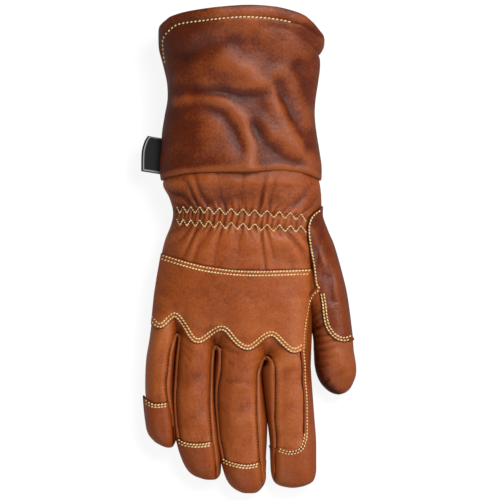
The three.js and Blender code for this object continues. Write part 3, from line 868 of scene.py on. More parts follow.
top_line = beside(STRAP_TOP_ROW, TOP_EDGE_OFF)
scallop_line = beside(STRAP_SCALLOP_ROW, -SCALLOP_EDGE_OFF)
scallop_line[:, 0] = np.maximum.accumulate(scallop_line[:, 0])
u = np.linspace(0, 1, 190)
v = stations(60, 45)
upper_x = strap_x(STRAP_LEFT_TOP_Y, STRAP_RIGHT_TOP_X)
lower_x = strap_x(STRAP_LEFT_BOTTOM_Y, STRAP_RIGHT_BOTTOM_X)
upper = np.stack([upper_x, np.interp(upper_x, top_line[:, 0], top_line[:, 1])], axis=1)
lower = np.stack([lower_x, np.interp(lower_x, scallop_line[:, 0], scallop_line[:, 1])], axis=1)
plan = upper[None] + (lower - upper)[None] * v[:, None, None]
left_side = hand_left(plan[:, 0, 1])
plan[..., 0] += (left_side - plan[:, 0, 0])[:, None] * (1 - smooth(u / 0.3))[None]
height = strap_height(plan[..., 0], plan[..., 1])
plan[..., 0] += TUCK * (1 - smooth(u / 0.1))[None]
strap_base = np.dstack([plan, height])
knuckle_strap, strap_surface = shell("knuckle_strap_leather", strap_base, STRAP_LEATHER, BACK_TAN,
                                     (True, True, False, False))
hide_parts("knuckle_strap")

# Fourchettes
# A strip of leather runs down one finger's side, across the crotch and up the next finger's side. It is sewn
# to the two finger backs above and to the palm below. Beside each seam it stands up as a welt with a painted
# highlight along it.
FOURCHETTE_TAN = leather("fourchette_leather", srgb(76, 28, 6), srgb(134, 60, 20), srgb(156, 80, 36))
WELT_PLACE = 0.2
WELT_REACH = 0.11
WELT_HEIGHT = 0.5
WEB_LIFT = 2.5
STRIP_OUTER = 0.9
STRIP_INNER = 0.5
UNDER_THE_CAP = 11
UNDER_THE_BACK = 0.8
SEAM_MARGIN = 1.5
# how much paler the welt is painted, as a highlight on its ridge
WELT_HIGHLIGHT = 0.5
FOURCHETTES = {
    # which fingers: each one's name, its back seam, and its side, 0 left or 1 right
    "little_ring": (("little", "little_right", 1), ("ring", "ring_left", 0)),
    "ring_middle": (("ring", "ring_right", 1), ("middle", "middle_left", 0)),
    "middle_index": (("middle", "middle_right", 1), ("index", "index_left", 0)),
}


def finger_side(finger, seam, column, y, down):
    """One finger's side, from its back seam down and round to the palm: a quarter round between the two."""
    left, right, bottom, top = finger_sections[finger](y)
    edge_x = (left, right)[column][:, None]
    top_x = seams[seam](y)[:, None]
    top_x = np.minimum(top_x, edge_x - SEAM_MARGIN) if column else np.maximum(top_x, edge_x + SEAM_MARGIN)
    top_z = back_leather(top_x, y[:, None]) - UNDER_THE_BACK
    edge_z = (bottom + (top - bottom) * WIDEST_AT)[:, None]
    angle = down[None] * np.pi / 2
    x = top_x + (edge_x - top_x) * np.sin(angle)
    z = edge_z + (top_z - edge_z) * np.cos(angle)
    return np.stack([x, np.repeat(y[:, None], len(down), axis=1), z], axis=2)


for name, fingers in FOURCHETTES.items():
    down = np.linspace(0, 1, 22)
    crotch_y = BETWEEN[name][-1][1] - 3
    sides = []
    for finger, seam, column in fingers:
        y = np.linspace(crotch_y, BACK_ENDS[finger] - UNDER_THE_CAP, 90)
        sides.append(finger_side(finger, seam, column, y, down))
    up_first, down_second = sides[0][::-1], sides[1]
    turn = np.linspace(0, 1, 14)[1:-1, None, None]
    web = up_first[-1:] * (1 - turn) + down_second[:1] * turn
    web[..., 1] += WEB_LIFT * np.sin(np.pi * turn[..., 0])
    strip = np.concatenate([up_first, web, down_second])
    welt = np.exp(-(((down - WELT_PLACE) / WELT_REACH) ** 2))
    strip[..., 2] += WELT_HEIGHT * welt
    # the welt's painted highlight: a negative shade along it
    fourchette, _ = shell(f"fourchette_{name}_leather", strip[:, ::-1], STRIP_OUTER, FOURCHETTE_TAN,
                          (False,) * 4, STRIP_INNER, shade=-WELT_HIGHLIGHT * welt[::-1])
    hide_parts("fourchette_" + name)

# Index wrap
# The palm leather comes round the index finger's side and over its tip on to the back. It is one with the
# palm, lies on top of the back's leather, and is stitched down beside its cut edge.
WRAP_LEATHER = 1.2
WRAP_FORK = [(52.2, -29.9), (49.6, -34)]
WRAP_TIP_Y = -152
WRAP_INNER_Y = -144.2
CAP_TOP_Y = -144
CAP_EDGE_Y = -139
# Painted light at the wrap's cut edge across the fingertip: its darker colour and a painted shadow line
CAP_EDGE_SHADE = 0.9
CAP_EDGE_REACH = 0.9
WRAP_WAVE = 0.25
WRAP_SEAM_WIDTH = 0.8
TIP_SEAM_DEPTH = 1.0
TIP_WELT_OFF = 1.4
TIP_WELT_WIDTH = 0.7
CAP_TAN = leather("cap_leather", srgb(80, 26, 3), srgb(136, 59, 16), srgb(158, 80, 33))


def side_path(finger, column, first, last=None):
    """A finger's outline on one side from a y down to its tip, or to another y, as plan points."""
    curve = along(tipped(FINGERS[finger]))
    keep = curve[:, 0] < first
    if last is not None:
        keep &= curve[:, 0] > last
    return np.stack([curve[keep, 1 + column], curve[keep, 0]], axis=1)


def even(points, places):
    """Points at given shares of a dense line's length."""
    run = np.concatenate([[0], np.cumsum(np.linalg.norm(np.diff(points, axis=0), axis=1))])
    return np.stack([np.interp(places * run[-1], run, points[:, k]) for k in (0, 1)], axis=1)


def from_cut_edge(count):
    """Places from 0 to 1 across a patch: a quarter sine, with extra ones close to the cut edge at 0."""
    places = np.concatenate([np.sin(np.pi / 2 * np.linspace(0, 1, count)), [0.006, 0.02, 0.045, 0.08]])
    return np.unique(np.round(places, 6))


def ruled(left_path, right_path, across):
    """A plan grid of straight rows from each point of the left path to the same point of the right path."""
    return left_path[:, None] + (right_path - left_path)[:, None] * across[None, :, None]


def index_top(x, y):
    """Height of the index finger's back: the soft maximum with the hand's near the knuckle, its own below."""
    own = dome(finger_sections["index"], x, y)
    return np.where(y > -90, soft_max(own, hand_top(x, y)), own)


def distance_to(x, y, line):
    """Distance in plan from each point to the nearest point of a dense line."""
    return np.min([np.hypot(x - line_x, y - line_y) for line_x, line_y in line], axis=0)


def seam_shade(from_seam, width):
    """Painted shade in a fingertip's seam groove, a dark bell curve at it, less a painted highlight, a pale
    bell curve, on the welt beside it.
    """
    on_welt = np.exp(-(((from_seam + TIP_WELT_OFF) / TIP_WELT_WIDTH) ** 2))
    return np.exp(-((from_seam / width) ** 2)) - WELT_HIGHLIGHT * on_welt


row_places = np.linspace(0, 1, 12 * (len(INDEX_WRAP_ROW) - 1) + 1)[:, None]
edge_path = beside(INDEX_WRAP_ROW, -WRAP_EDGE_OFF + 1.2 * smooth((row_places - 0.66) / 0.14))
inner_side = side_path("index", 0, WRAP_INNER_Y)
edge_places = np.linspace(0, 1, 170)
side_left = even(edge_path, edge_places)
side_right = even(np.vstack([WRAP_FORK, side_path("index", 1, -38, WRAP_TIP_Y)]), edge_places)
tip_places = np.linspace(0, 1, 60)[1:]
tip_left = even(inner_side, tip_places)
tip_right = even(side_path("index", 1, WRAP_TIP_Y), tip_places)
lefts = np.vstack([side_left, tip_left])
rights = np.vstack([side_right, tip_right])
plan = ruled(lefts, rights, from_cut_edge(54))
px, py = plan[..., 0], plan[..., 1]
at_fork = smooth((py + 42) / 10)
height = index_top(px, py) * (1 - at_fork) + thumb_side_top(px, py) * at_fork
height = height + PATCH_LIFT + WRAP_WAVE * wander(px, py, 20, 21)
below_edge = smooth((CAP_TOP_Y - py) / 3)
from_seam = px - seams["index_left"](py)
wrap_base = np.dstack([plan, height + below_edge * seam_valley(from_seam, TIP_SEAM_DEPTH)])
# Painted light: a dark line along the wrap's cut edge across the fingertip, its own darker colour and a
# painted shadow line, and painted shade in the tip's seam groove with a painted highlight on the welt beside
# it
to_edge = distance_to(px, py, edge_path[::3])
cap_edge = CAP_EDGE_SHADE * smooth((CAP_EDGE_Y - py) / 4) * np.exp(-((to_edge / CAP_EDGE_REACH) ** 2))
wrap_shade = below_edge * seam_shade(from_seam, WRAP_SEAM_WIDTH)
index_wrap, wrap_surface = shell("index_wrap_leather", wrap_base, WRAP_LEATHER, CAP_TAN,
                                 (False, False, True, False), shade=np.maximum(wrap_shade, cap_edge))

# Tip caps
# A patch of leather covers the back of the little, ring and middle fingertips. Its cut edge lies across the
# finger, held by a double row of stitches, and its sides go into the finger's side seams.
CAP_EDGES = {
    "little": [(-76.5, -106.4), (-75, -108.2), (-73, -110), (-68.4, -112.0), (-61.1, -111.3), (-57.3, -110)],
    "ring": [(-52.6, -136), (-50.5, -137.6), (-46.5, -139.9), (-39.2, -140.9), (-31.9, -140.5),
             (-24.0, -138.4)],
    "middle": [(-20.4, -149.6), (-17, -152.6), (-12.2, -154.4), (-4.2, -156.2), (2.4, -155.9), (11.8, -153)],
}
CAP_LEATHER = 1.2
CAP_SEAM_WIDTH = 0.65
CAP_SEAMS = {"little": "little_right", "ring": "ring_right", "middle": "middle_right"}
cap_surfaces = {}
for finger, edge in CAP_EDGES.items():
    places = stations(84, 34, end=False)
    left_path = even(side_path(finger, 0, edge[0][1]), places)
    right_path = even(side_path(finger, 1, edge[-1][1]), places)
    across = (1 - np.cos(np.pi * np.linspace(0, 1, 64))) / 2
    plan = ruled(left_path, right_path, across)
    bow = even(along(edge, 24), across) - plan[0]
    plan = plan + bow[None] * (1 - smooth(places / 0.6))[:, None, None]
    height = dome(finger_sections[finger], plan[..., 0], plan[..., 1]) + PATCH_LIFT
    height = height + 0.2 * wander(plan[..., 0], plan[..., 1], 18, 31)
    # Painted shade in the seam's groove and a painted highlight on the welt beside it
    to_seam = seams[CAP_SEAMS[finger]](plan[..., 1]) - plan[..., 0]
    base = np.dstack([plan, height + seam_valley(to_seam, TIP_SEAM_DEPTH)])
    cap, cap_surfaces[finger] = shell(f"tip_cap_{finger}_leather", base, CAP_LEATHER, CAP_TAN,
                                      (True, False, False, False), shade=seam_shade(to_seam, CAP_SEAM_WIDTH))
    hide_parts("tip_cap_" + finger)

# Thumb
# The thumb is a tube of the palm's leather, sewn up along the side that faces the index finger, where
# creases run in from the seam, and where painted shade darkens it. Its upper end goes under the thumb patch.
THUMB_TAN = leather("thumb_leather", srgb(58, 18, 2), srgb(134, 61, 20), srgb(158, 82, 36))
THUMB_WRINKLES = [
    # x and y of a wrinkle's ends, width, height
    ((46, -49.5), (53.6, -44.4), 1.2, -1.1),
    ((46.5, -54.5), (55, -48.6), 1.3, -1.2),
    ((47, -59.5), (56, -53.5), 1.3, -1.2),
    ((48, -64), (60, -61), 1.3, -1.1),
    ((48.5, -69), (62.2, -66.3), 1.4, -1.1),
    ((49, -74.5), (61, -71.5), 1.4, -1.0),
    ((49.5, -79.5), (60, -78), 1.4, -0.8),
    ((50, -86), (57, -84), 1.4, -0.7),
    ((54, -100), (58, -95), 1.2, -0.8),
]
THUMB_TOP_Y = 12
THUMB_BOTTOM_Z = 0.4
# how dark the painted shade on the thumb's index finger side is
THUMB_SHADE = 0.7
# how far the thumb's back lies lower where the patch covers it
THUMB_UNDER_PATCH = 2.4


def round_section(count):
    """A limb's section at count even angles from its right side: the cosine and the sine, each to the power
    2/2.3 with its sign kept, and the plain sine."""
    angle = np.linspace(0, 2 * np.pi, count)
    cosine, sine = np.cos(angle), np.sin(angle)
    side_share = np.sign(cosine) * np.abs(cosine) ** (2 / ROUNDNESS)
    up_share = np.sign(sine) * np.abs(sine) ** (2 / ROUNDNESS)
    return side_share, up_share, sine


curve = along(tipped(THUMB), 26)
curve = curve[curve[:, 0] < THUMB_TOP_Y]
side_share, up_share, _ = round_section(97)
y, left, right, bottom, top = (curve[:, k, None] for k in range(5))
widest = bottom + (top - bottom) * WIDEST_AT
x = (left + right) / 2 + (right - left) / 2 * side_share
z = widest + np.where(up_share > 0, top - widest, widest - bottom) * up_share
z = np.maximum(z, THUMB_BOTTOM_Z)
plan_y = y + 0 * x
back_share = np.maximum(up_share, 0)
thumb_waves = 0.4 * wander(x, plan_y, 22, 41) + 0.15 * wander(x, plan_y, 9, 42)
sunk = THUMB_UNDER_PATCH * smooth((plan_y + 26) / 20)
z = z + back_share * (thumb_waves + folds_at(x, plan_y, THUMB_WRINKLES) - sunk)
thumb_grid = np.stack([x, plan_y, z], axis=2)[:, ::-1]


def thumb_shade(x, y):
    """Painted shade on the thumb's side that faces the index finger, where the hand shadows it: a smoothstep
    over 14 mm from there.
    """
    from_side = x - thumb_section(y)[0] - 1
    return THUMB_SHADE * (1 - smooth(from_side / 14)) * smooth((-30 - y) / 14)


thumb = sheets("thumb_tube", [thumb_grid], THUMB_TAN, HAND_LEATHER, thumb_shade)
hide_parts("thumb")

# Thumb patch
# A wing of the palm's leather wraps on to the back from the wrist seam to the thumb, where it ends in a
# cut edge with a double row of stitches. Folds run down it from the wrist.
THUMB_PATCH_EDGE = [(50.6, -29.6), (51.4, -32.4), (52.6, -39), (53.2, -45), (54.2, -52), (55.8, -57.4),
                    (59.3, -62.7), (63.3, -66), (67, -67.4), (71, -67.6), (76, -66)]
# the outline's y at the right end of the patch's rows: share of the rows, and y
PATCH_OUTLINE_Y = ((0, 0.53, 0.8, 1), (31.6, -30, -56, -65.8))
PATCH_LEATHER = 1.2
PATCH_FOLDS = [
    # x and y of the ends, width, height
    ((46.5, 14), (57.5, -16), 2.6, 1.1),
    ((49.5, 20), (62, -8), 2.4, -1.2),
    ((57.5, -14), (61, -38), 2.8, -1.0),
    ((61, -8), (66, -40), 3.0, 0.9),
]

patch_left = np.vstack([
    even(along(WRIST_TO_FORK, 24), np.linspace(0, 1, 90))[:-1],
    even(along(THUMB_PATCH_EDGE, 24), np.linspace(0, 1, 80)),
])
outline_y = np.interp(np.linspace(0, 1, len(patch_left)), *PATCH_OUTLINE_Y)
patch_right = np.stack([right_outline(outline_y), outline_y], axis=1)
across = from_cut_edge(40)
plan = ruled(patch_left, patch_right, across)
px, py = plan[..., 0], plan[..., 1]
height = thumb_side_top(px, py) + PATCH_LIFT + 0.4 * wander(px, py, 22, 51) + 0.2 * wander(px, py, 9, 52)
height = height + folds_at(px, py, PATCH_FOLDS)
patch_base = np.dstack([px - TUCK * smooth((across - 0.8) / 0.2), py, height])
thumb_patch, patch_surface = shell("thumb_patch_leather", patch_base, PATCH_LEATHER, PALM_TAN,
                                   (True, False, True, False))
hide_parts("thumb_patch")

# Gauntlet cuff
# A wide tube of doubled leather slips over the sleeve. It is hemmed with one row of stitches at the rim,
# its lower edge is turned under and lies over the wrist, and it has slumped into soft folds, with a painted
# highlight on their ridges and painted shade in between. Its left side is painted darker as shade, and its
# turned lower edge carries a painted highlight.
CUFF = [
    # y at the sides, left, right, bottom, top
    (50.0, -63.2, 52.0, -6, 58.8),
    (54.0, -63.9, 52.4, -6, 60.2),
    (61.7, -64.4, 52.2, -6, 61.0),
    (72.6, -63.3, 50.7, -6, 61.6),
    (83.6, -62.6, 48.9, -6, 62.2),
    (96.0, -60.8, 47.4, -6, 63.0),
    (107.7, -58.6, 47.8, -6, 64.6),
    (120.1, -58.7, 49.6, -6, 67.0),
    (131.0, -60.9, 51.1, -6, 70.0),
    (137.6, -62.6, 51.2, -6, 72.4),
    (141.2, -63.6, 50.2, -6, 73.6),
    (144.2, -64.4, 52.4, -6, 74.6),
    (148.4, -65.0, 54.2, -6, 76.0),
    (154.4, -65.1, 54.5, -6, 77.2),
]
EDGE_ARCH = 6.4
RIM_ARCH = 23.4
PALM_SIDE_ARCH = 0.7
# where across the cuff, from -1 at the left side to 1 at the right, and the share of the arch there
RIM_LINE = [(-1, 0), (-0.99, 0.31), (-0.95, 0.44), (-0.89, 0.56), (-0.83, 0.67), (-0.64, 0.81), (-0.27, 0.94),
            (0.1, 1), (0.43, 0.94), (0.64, 0.81), (0.75, 0.69), (0.81, 0.57), (0.87, 0.44), (0.92, 0.31),
            (0.97, 0.16), (1, 0)]
EDGE_LINE = [(-1, 0), (-0.96, 0.26), (-0.88, 0.5), (-0.7, 0.8), (-0.47, 0.95), (-0.16, 1.02), (0.1, 1.02),
             (0.37, 1.15), (0.51, 1.2), (0.73, 1.0), (0.94, 0.36), (1, 0)]
LIP_HEIGHT = 0.8
LIP_PLACE = 0.022
CUFF_OUTER = 0.8
CUFF_INNER = 0.9
CUFF_BOTTOM_Z = 0.02
CUFF_FLOOR_Z = 0.6
HEM = [(-61.1, 135.4), (-62.6, 148.6), (-61.9, 154.4), (-56.8, 160.2), (-50.9, 163.9), (-35.6, 166.1),
       (-20.3, 167.9), (-4.9, 169), (10.4, 168.5), (23.5, 166.8), (30.8, 165.3), (41, 162.4), (53.5, 154.4)]
CUFF_FOLDS = [
    # line in plan, width, height
    ([(-44.6, 149.8), (-31.9, 157.2), (-17, 159.4), (-3.6, 159.6)], 6.0, 2.2),
    ([(-46, 140.5), (-32, 148.4), (-12.4, 152.8), (2, 153.4)], 4.2, -2.4),
    ([(-28, 125), (-15, 129), (-2.6, 122)], 10.0, 3.2),
    ([(-16.3, 139), (-2.6, 129.3), (11.4, 117)], 5.0, 1.9),
    ([(-38, 114.2), (-18.3, 114.2), (-3.6, 112.6), (12, 114.8)], 3.4, -3.6),
    ([(-50, 107), (-35.9, 111.6), (-23.1, 109), (-12.4, 103.2), (-5.5, 95.4), (-1.6, 85.6), (1.3, 74),
      (1.3, 57)], 3.2, 2.6),
    ([(-28, 101.4), (-16.4, 94.4), (-10, 84), (-6, 72)], 3.4, -1.4),
    ([(-40, 96), (-24, 87), (-12, 73), (-5, 60)], 7.5, 2.2),
    ([(8, 103), (7.5, 93), (4.5, 84)], 5.0, -1.6),
    ([(17, 114.5), (21.8, 99), (29.7, 85.3), (37.5, 73.6), (46, 62)], 4.6, 2.9),
    ([(10, 92), (19, 82), (27, 75)], 5.0, 1.6),
    ([(4, 90), (12.1, 79), (21.8, 70.2), (34.5, 62.4)], 3.6, -2.6),
    ([(20.4, 119), (27.9, 104.5), (33.6, 92.2), (41.4, 76)], 3.2, -2.4),
    ([(23.4, 129), (31.2, 120.5), (38.5, 105.8), (43.4, 92)], 4.8, 2.4),
    ([(35, 134), (41.4, 120), (45.4, 107.8)], 3.4, -1.8),
    ([(18, 150), (27, 146), (31, 138)], 8.0, 1.6),
]
FOLD_DEPTH = 0.7
FOLD_WIDTH = 1.55
HEM_BAND = 4.6
# Painted light on the cuff: shade over its left side, a highlight along its turned lower edge, and shade and
# highlight in the folds' creases and on their ridges, per mm of fold
CUFF_SHADE = 0.2
LIP_HIGHLIGHT = 0.45
FOLD_TONE = 0.07
FOLD_TONE_LIMIT = 2.5
# The inside rolls in to the wrist just above the lower edge, so that no gap shows there
ROLL_PLACE = 3.6
ROLL_WIDTH = 2.6
ROLL_LIMIT = 5.0
CUFF_TAN = leather("cuff_leather", srgb(66, 20, 1), srgb(93, 32, 2), srgb(142, 69, 26))


def bell_along(x, y, points, width):
    """A bell curve of the distance in plan to the smooth line through the points."""
    return np.exp(-((distance_to(x, y, along(points, 10)) / width) ** 2))


def cuff_relief(x, y):
    """Folds of the cuff: each line adds its height times a bell curve of the distance, on a slow unevenness.
    The hem's row of stitches lies in a groove, and its turned-in leather makes a low band beside that."""
    total = 0.6 * wander(x, y, 42, 61) + 0.2 * wander(x, y, 17, 62)
    for points, width, height in CUFF_FOLDS:
        total = total + FOLD_DEPTH * height * bell_along(x, y, points, FOLD_WIDTH * width)
    band = 0.9 * bell_along(x, y, beside(HEM, HEM_BAND)[::4], 3.0)
    return total + band - 0.8 * bell_along(x, y, HEM, 1.1)


curve = along(CUFF, 12)
row_share = (curve[:, :1] - curve[0, 0]) / (curve[-1, 0] - curve[0, 0])
side_share, up_share, sine = (part[:-1] for part in round_section(281))
y, left, right, bottom, top = (curve[:, k, None] for k in range(5))
widest = bottom + (top - bottom) * WIDEST_AT
arch = EDGE_ARCH + (RIM_ARCH - EDGE_ARCH) * row_share
rim_line, edge_line = along(RIM_LINE), along(EDGE_LINE)
rim_lift = np.interp(side_share, rim_line[:, 0], rim_line[:, 1])
edge_lift = np.interp(side_share, edge_line[:, 0], edge_line[:, 1])
back_lift = edge_lift + (rim_lift - edge_lift) * row_share
plan_y = y + arch * np.where(sine > 0, back_lift, -PALM_SIDE_ARCH * sine)
plan_x = (left + right) / 2 + (right - left) / 2 * side_share
fade = np.clip(2 * sine, 0, 1)
lip = LIP_HEIGHT * fade * np.exp(-(((row_share - LIP_PLACE) / LIP_PLACE) ** 2))
out = fade * cuff_relief(plan_x, plan_y) + lip
x = plan_x + out * side_share
z = widest + (np.where(up_share > 0, top - widest, widest - bottom) + out) * up_share
z = np.maximum(z, 0)
cuff_middle = np.stack([x, plan_y + 0 * x, z], axis=2)[::-1, ::-1]
to_wrist = np.clip(z - back_leather(x, plan_y + 0 * x) - 0.2, 0, ROLL_LIMIT)
roll = fade * to_wrist * np.exp(-(((y - curve[0, 0] - ROLL_PLACE) / ROLL_WIDTH) ** 2))


def tube_shell(name, grid, outer, inner, material, shade, roll):
    """A closed tube wall on a grid whose columns run round: outside and inside are the grid moved by outer
    and inner mm along its normals, both times a quarter round of the distance to the tube's two ends. The
    inside stands in by the roll too, and the shade is taken off the relief attribute."""
    wrapped = np.concatenate([grid[:, -1:], grid, grid[:, :1]], axis=1)
    normals = normals_of(wrapped)[:, 1:-1]
    steps = np.linalg.norm(np.diff(grid, axis=0), axis=2)
    run = np.vstack([np.zeros((1, grid.shape[1])), np.cumsum(steps, axis=0)])
    reach = np.minimum(run, run[-1:] - run)
    share = np.sqrt(1 - (1 - np.clip(reach / (outer + inner), 0, 1)) ** 2)[..., None]
    outside = grid + normals * outer * share
    inside = grid - normals * (inner * share + roll[..., None])
    outside[..., 2] = np.maximum(outside[..., 2], CUFF_BOTTOM_Z)
    inside[..., 2] = np.maximum(inside[..., 2], CUFF_FLOOR_Z)
    rows, columns = grid.shape[:2]
    count = rows * columns
    faces = [grid_faces(rows, columns, 0, True), grid_faces(rows, columns, count, True)[:, ::-1]]
    relief = relief_of(wrapped, normals_of(wrapped))[:, 1:-1] - shade
    points = np.vstack([outside.reshape(-1, 3), inside.reshape(-1, 3)])
    piece = leather_object(name, points, np.vstack(faces), np.tile(relief.ravel(), 2), material)
    return piece, (outside, normals)


# Painted light: a highlight on the turned lower edge, shade in the fold creases with a highlight on the
# ridges, and shade over the left side, which faces away from the key light
turned = LIP_HIGHLIGHT * (fade * np.exp(-(((row_share - LIP_PLACE / 2) / LIP_PLACE) ** 2)))[::-1, ::-1]
fold_shade_and_highlight = FOLD_TONE * np.clip(out, -FOLD_TONE_LIMIT, FOLD_TONE_LIMIT)[::-1, ::-1]
cuff_painted_light = CUFF_SHADE * (1 - smooth((cuff_middle[..., 0] + 58) / 40)) - turned - fold_shade_and_highlight
cuff, cuff_surface = tube_shell("gauntlet_cuff_leather", cuff_middle, CUFF_OUTER, CUFF_INNER, CUFF_TAN,
                                cuff_painted_light, roll[::-1, ::-1])
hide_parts("gauntlet_cuff")

# Side label
# A black woven tag is folded in two and caught in the cuff's side seam. It is left plain but for a thin
# pale border woven along its edges.
LABEL_ROWS = [
    # seam side x and y, fold side x and y
    (-60.0, 80.5, -73.3, 82.8),
    (-60.0, 76.5, -75.7, 79.2),
    (-60.2, 70.0, -77.7, 72.6),
    (-60.4, 62.5, -78.2, 65.3),
    (-60.5, 54.2, -78.2, 57.0),
]
LABEL_Z = 25.6
LABEL_DROOP = 1.6
LABEL_HEIGHT = 26.0
BORDER_INSET = 1.5
BORDER_WIDTH = 0.35
LABEL_WALL = 0.5
LABEL_GAP = 0.35


def woven(name):
    """Satin-woven label cloth: black, with a pale line near the border where the relief attribute is 1."""
    material, nodes, links, shader = plain_material(name, srgb(24, 24, 27), 0.75)
    border = nodes.new("ShaderNodeAttribute")
    border.attribute_name = "relief"
    mix = nodes.new("ShaderNodeMix")
    mix.data_type = "RGBA"
    mix.inputs["A"].default_value = (*srgb(26, 26, 29), 1)
    mix.inputs["B"].default_value = (*srgb(176, 176, 172), 1)
    links.new(border.outputs["Fac"], mix.inputs["Factor"])
    links.new(mix.outputs["Result"], shader.inputs["Base Color"])
    return material


LABEL_BLACK = woven("label_weave")
rows = along(LABEL_ROWS, 26)
t = np.linspace(0, 1, 60)
turn = np.linspace(0, np.pi, 9)[1:-1]
radius = (LABEL_GAP + LABEL_WALL) / 2
seam_x, seam_y, fold_x, fold_y = (rows[:, k, None] for k in range(4))
top_x = seam_x + (fold_x + radius - seam_x) * t
bend_x = fold_x + radius - radius * np.sin(turn)
label_x = np.hstack([top_x, bend_x, top_x[:, ::-1]])
droop = -LABEL_DROOP * ((label_x - seam_x) / (fold_x - seam_x)) ** 2
label_z = np.concatenate([t * 0 + radius, radius * np.cos(turn), t * 0 - radius])[None] + LABEL_Z + droop
label_y = seam_y + (fold_y - seam_y) * (label_x - seam_x) / (fold_x - seam_x)
label_grid = np.stack([label_x, label_y, label_z], axis=2)[:, ::-1]
row_run = np.linspace(0, 1, len(rows))[:, None] * LABEL_HEIGHT
edge = np.minimum(row_run, LABEL_HEIGHT - row_run)
side = label_x - fold_x
inset = np.minimum(edge, side) - BORDER_INSET
border = np.exp(-((inset / BORDER_WIDTH) ** 2))[:, ::-1]
label, _ = shell("side_label_weave", label_grid, LABEL_WALL / 2, LABEL_BLACK, (False,) * 4, LABEL_WALL / 2,
                 mask=border)
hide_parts("side_label")

# Stitches
# Pale yellow thread holds every patch down: one row at the rim and along the index wrap, two rows on the
# strap, the tip caps and the thumb patch, two zigzags over the elastic, and a bar at each crotch. Brown
# thread closes the seams between the fingers' backs and the fourchettes.
STITCH_PITCH = 2.35
STITCH_LENGTH = 2.15
STITCH_LIFT = 0.12
THREAD = 1.15
SLANT = 0.25
# A stitch's five rings of six points: place along it, thickness and rise, as shares of its half size
STITCH_ALONG = (-0.92, -0.6, 0.0, 0.6, 0.92)
STITCH_THICK = (0.45, 0.9, 1.0, 0.9, 0.45)
STITCH_RISE = (-0.55, -0.1, 0.12, -0.1, -0.55)
STITCH_DIP = 0.35
WRAP_ROWS_APART = 1.7
STRAP_ROWS = [
    # line, how far beside it, from x, to x
    (STRAP_TOP_ROW, 0, -64, 46.5),
    (STRAP_TOP_ROW, -TOP_ROWS_APART, -64.5, 45),
    (STRAP_SCALLOP_ROW, 0, -71, 39),
    (STRAP_SCALLOP_ROW, -SCALLOP_ROWS_APART, -71, 38.5),
]
THUMB_PATCH_ROWS = [
    # line, how far beside it
    (WRIST_TO_FORK, 1.7),
    (THUMB_PATCH_EDGE, 1.3),
    (THUMB_PATCH_EDGE, 3.3),
]
CAP_ROWS_OFF = (1.4, 3.2)
CROTCH_BARS = ((-52.3, -64), (-22.3, -73), (14.2, -80.6))
BAR_HALF_LENGTH = 2.6
# how far beside each finger seam its brown stitches lie
SEAM_SIDES = {"little_right": -1.1, "ring_left": 1.1, "ring_right": -1.1, "middle_left": 1.1,
              "middle_right": -1.1, "index_left": 1.1}


def thread_material(name, dark, light):
    """Waxed sewing thread: a slow change between two tones, and a twist from a fine wave."""
    material, nodes, links, shader = plain_material(name, light, 0.5)
    place = nodes.new("ShaderNodeTexCoord")
    noise = nodes.new("ShaderNodeTexNoise")
    noise.inputs["Scale"].default_value = 260
    links.new(place.outputs["Object"], noise.inputs["Vector"])
    tones = colour_ramp(nodes, links, noise.outputs["Fac"], [(0.3, dark), (0.7, light)])
    links.new(tones, shader.inputs["Base Color"])
    wave = nodes.new("ShaderNodeTexWave")
    wave.bands_direction = "DIAGONAL"
    wave.inputs["Scale"].default_value = 900
    links.new(place.outputs["Object"], wave.inputs["Vector"])
    add_bump(nodes, links, shader, wave.outputs["Fac"], 0.4, 0.0001)
    return material


STRAW_THREAD = thread_material("sewing_thread", srgb(214, 178, 108), srgb(248, 226, 170))
BROWN_THREAD = thread_material("seam_thread", srgb(38, 16, 6), srgb(66, 30, 12))


def seat(path, surface):
    """Plan points set on a surface: the nearest grid point's height, carried over on its tangent plane."""
    points = np.vstack([part[0].reshape(-1, 3) for part in surface])
    normals = np.vstack([part[1].reshape(-1, 3) for part in surface])
    upward = normals[:, 2] > 0.1
    points, normals = points[upward], normals[upward]
    nearest = np.array([((points[:, :2] - place) ** 2).sum(1).argmin() for place in path])
    found, normal = points[nearest], normals[nearest]
    step = path - found[:, :2]
    height = found[:, 2] - (normal[:, :2] * step).sum(1) / np.maximum(normal[:, 2], 0.3)
    return np.column_stack([path, height]), normal


def capsules(middles, ways, normals, length, width):
    """Stitches as one set of points and faces: rings of six points along each way, with round ends that dip
    in. A point is middle + place * way + thickness * (cos * side + sin * normal) + rise * normal."""
    place, thick, rise = (np.array(shares)[:, None, None] / 2 for shares in
                          (STITCH_ALONG, STITCH_THICK, STITCH_RISE))
    turn = np.arange(6)[:, None] * np.pi / 3
    side = np.cross(normals, ways)
    side = side / np.linalg.norm(side, axis=1, keepdims=True)
    middle, way, across, up = (part[:, None, None] for part in (middles, ways, side, normals))
    ring = thick * width * (np.cos(turn) * across + np.sin(turn) * up)
    rings = (middle + place * length * way + ring + rise * width * up).reshape(len(middles), 30, 3)
    dip = normals * width * STITCH_DIP
    ends = np.stack([middles - ways * length / 2 - dip, middles + ways * length / 2 - dip], axis=1)
    points = np.concatenate([rings, ends], axis=1)
    pairs = [(k, (k + 1) % 6) for k in range(6)]
    quads = [(r + k, r + after, r + 6 + after, r + 6 + k) for r in (0, 6, 12, 18) for k, after in pairs]
    caps = [(after, k, 30) for k, after in pairs] + [(24 + k, 24 + after, 31) for k, after in pairs]
    return points, quads + caps


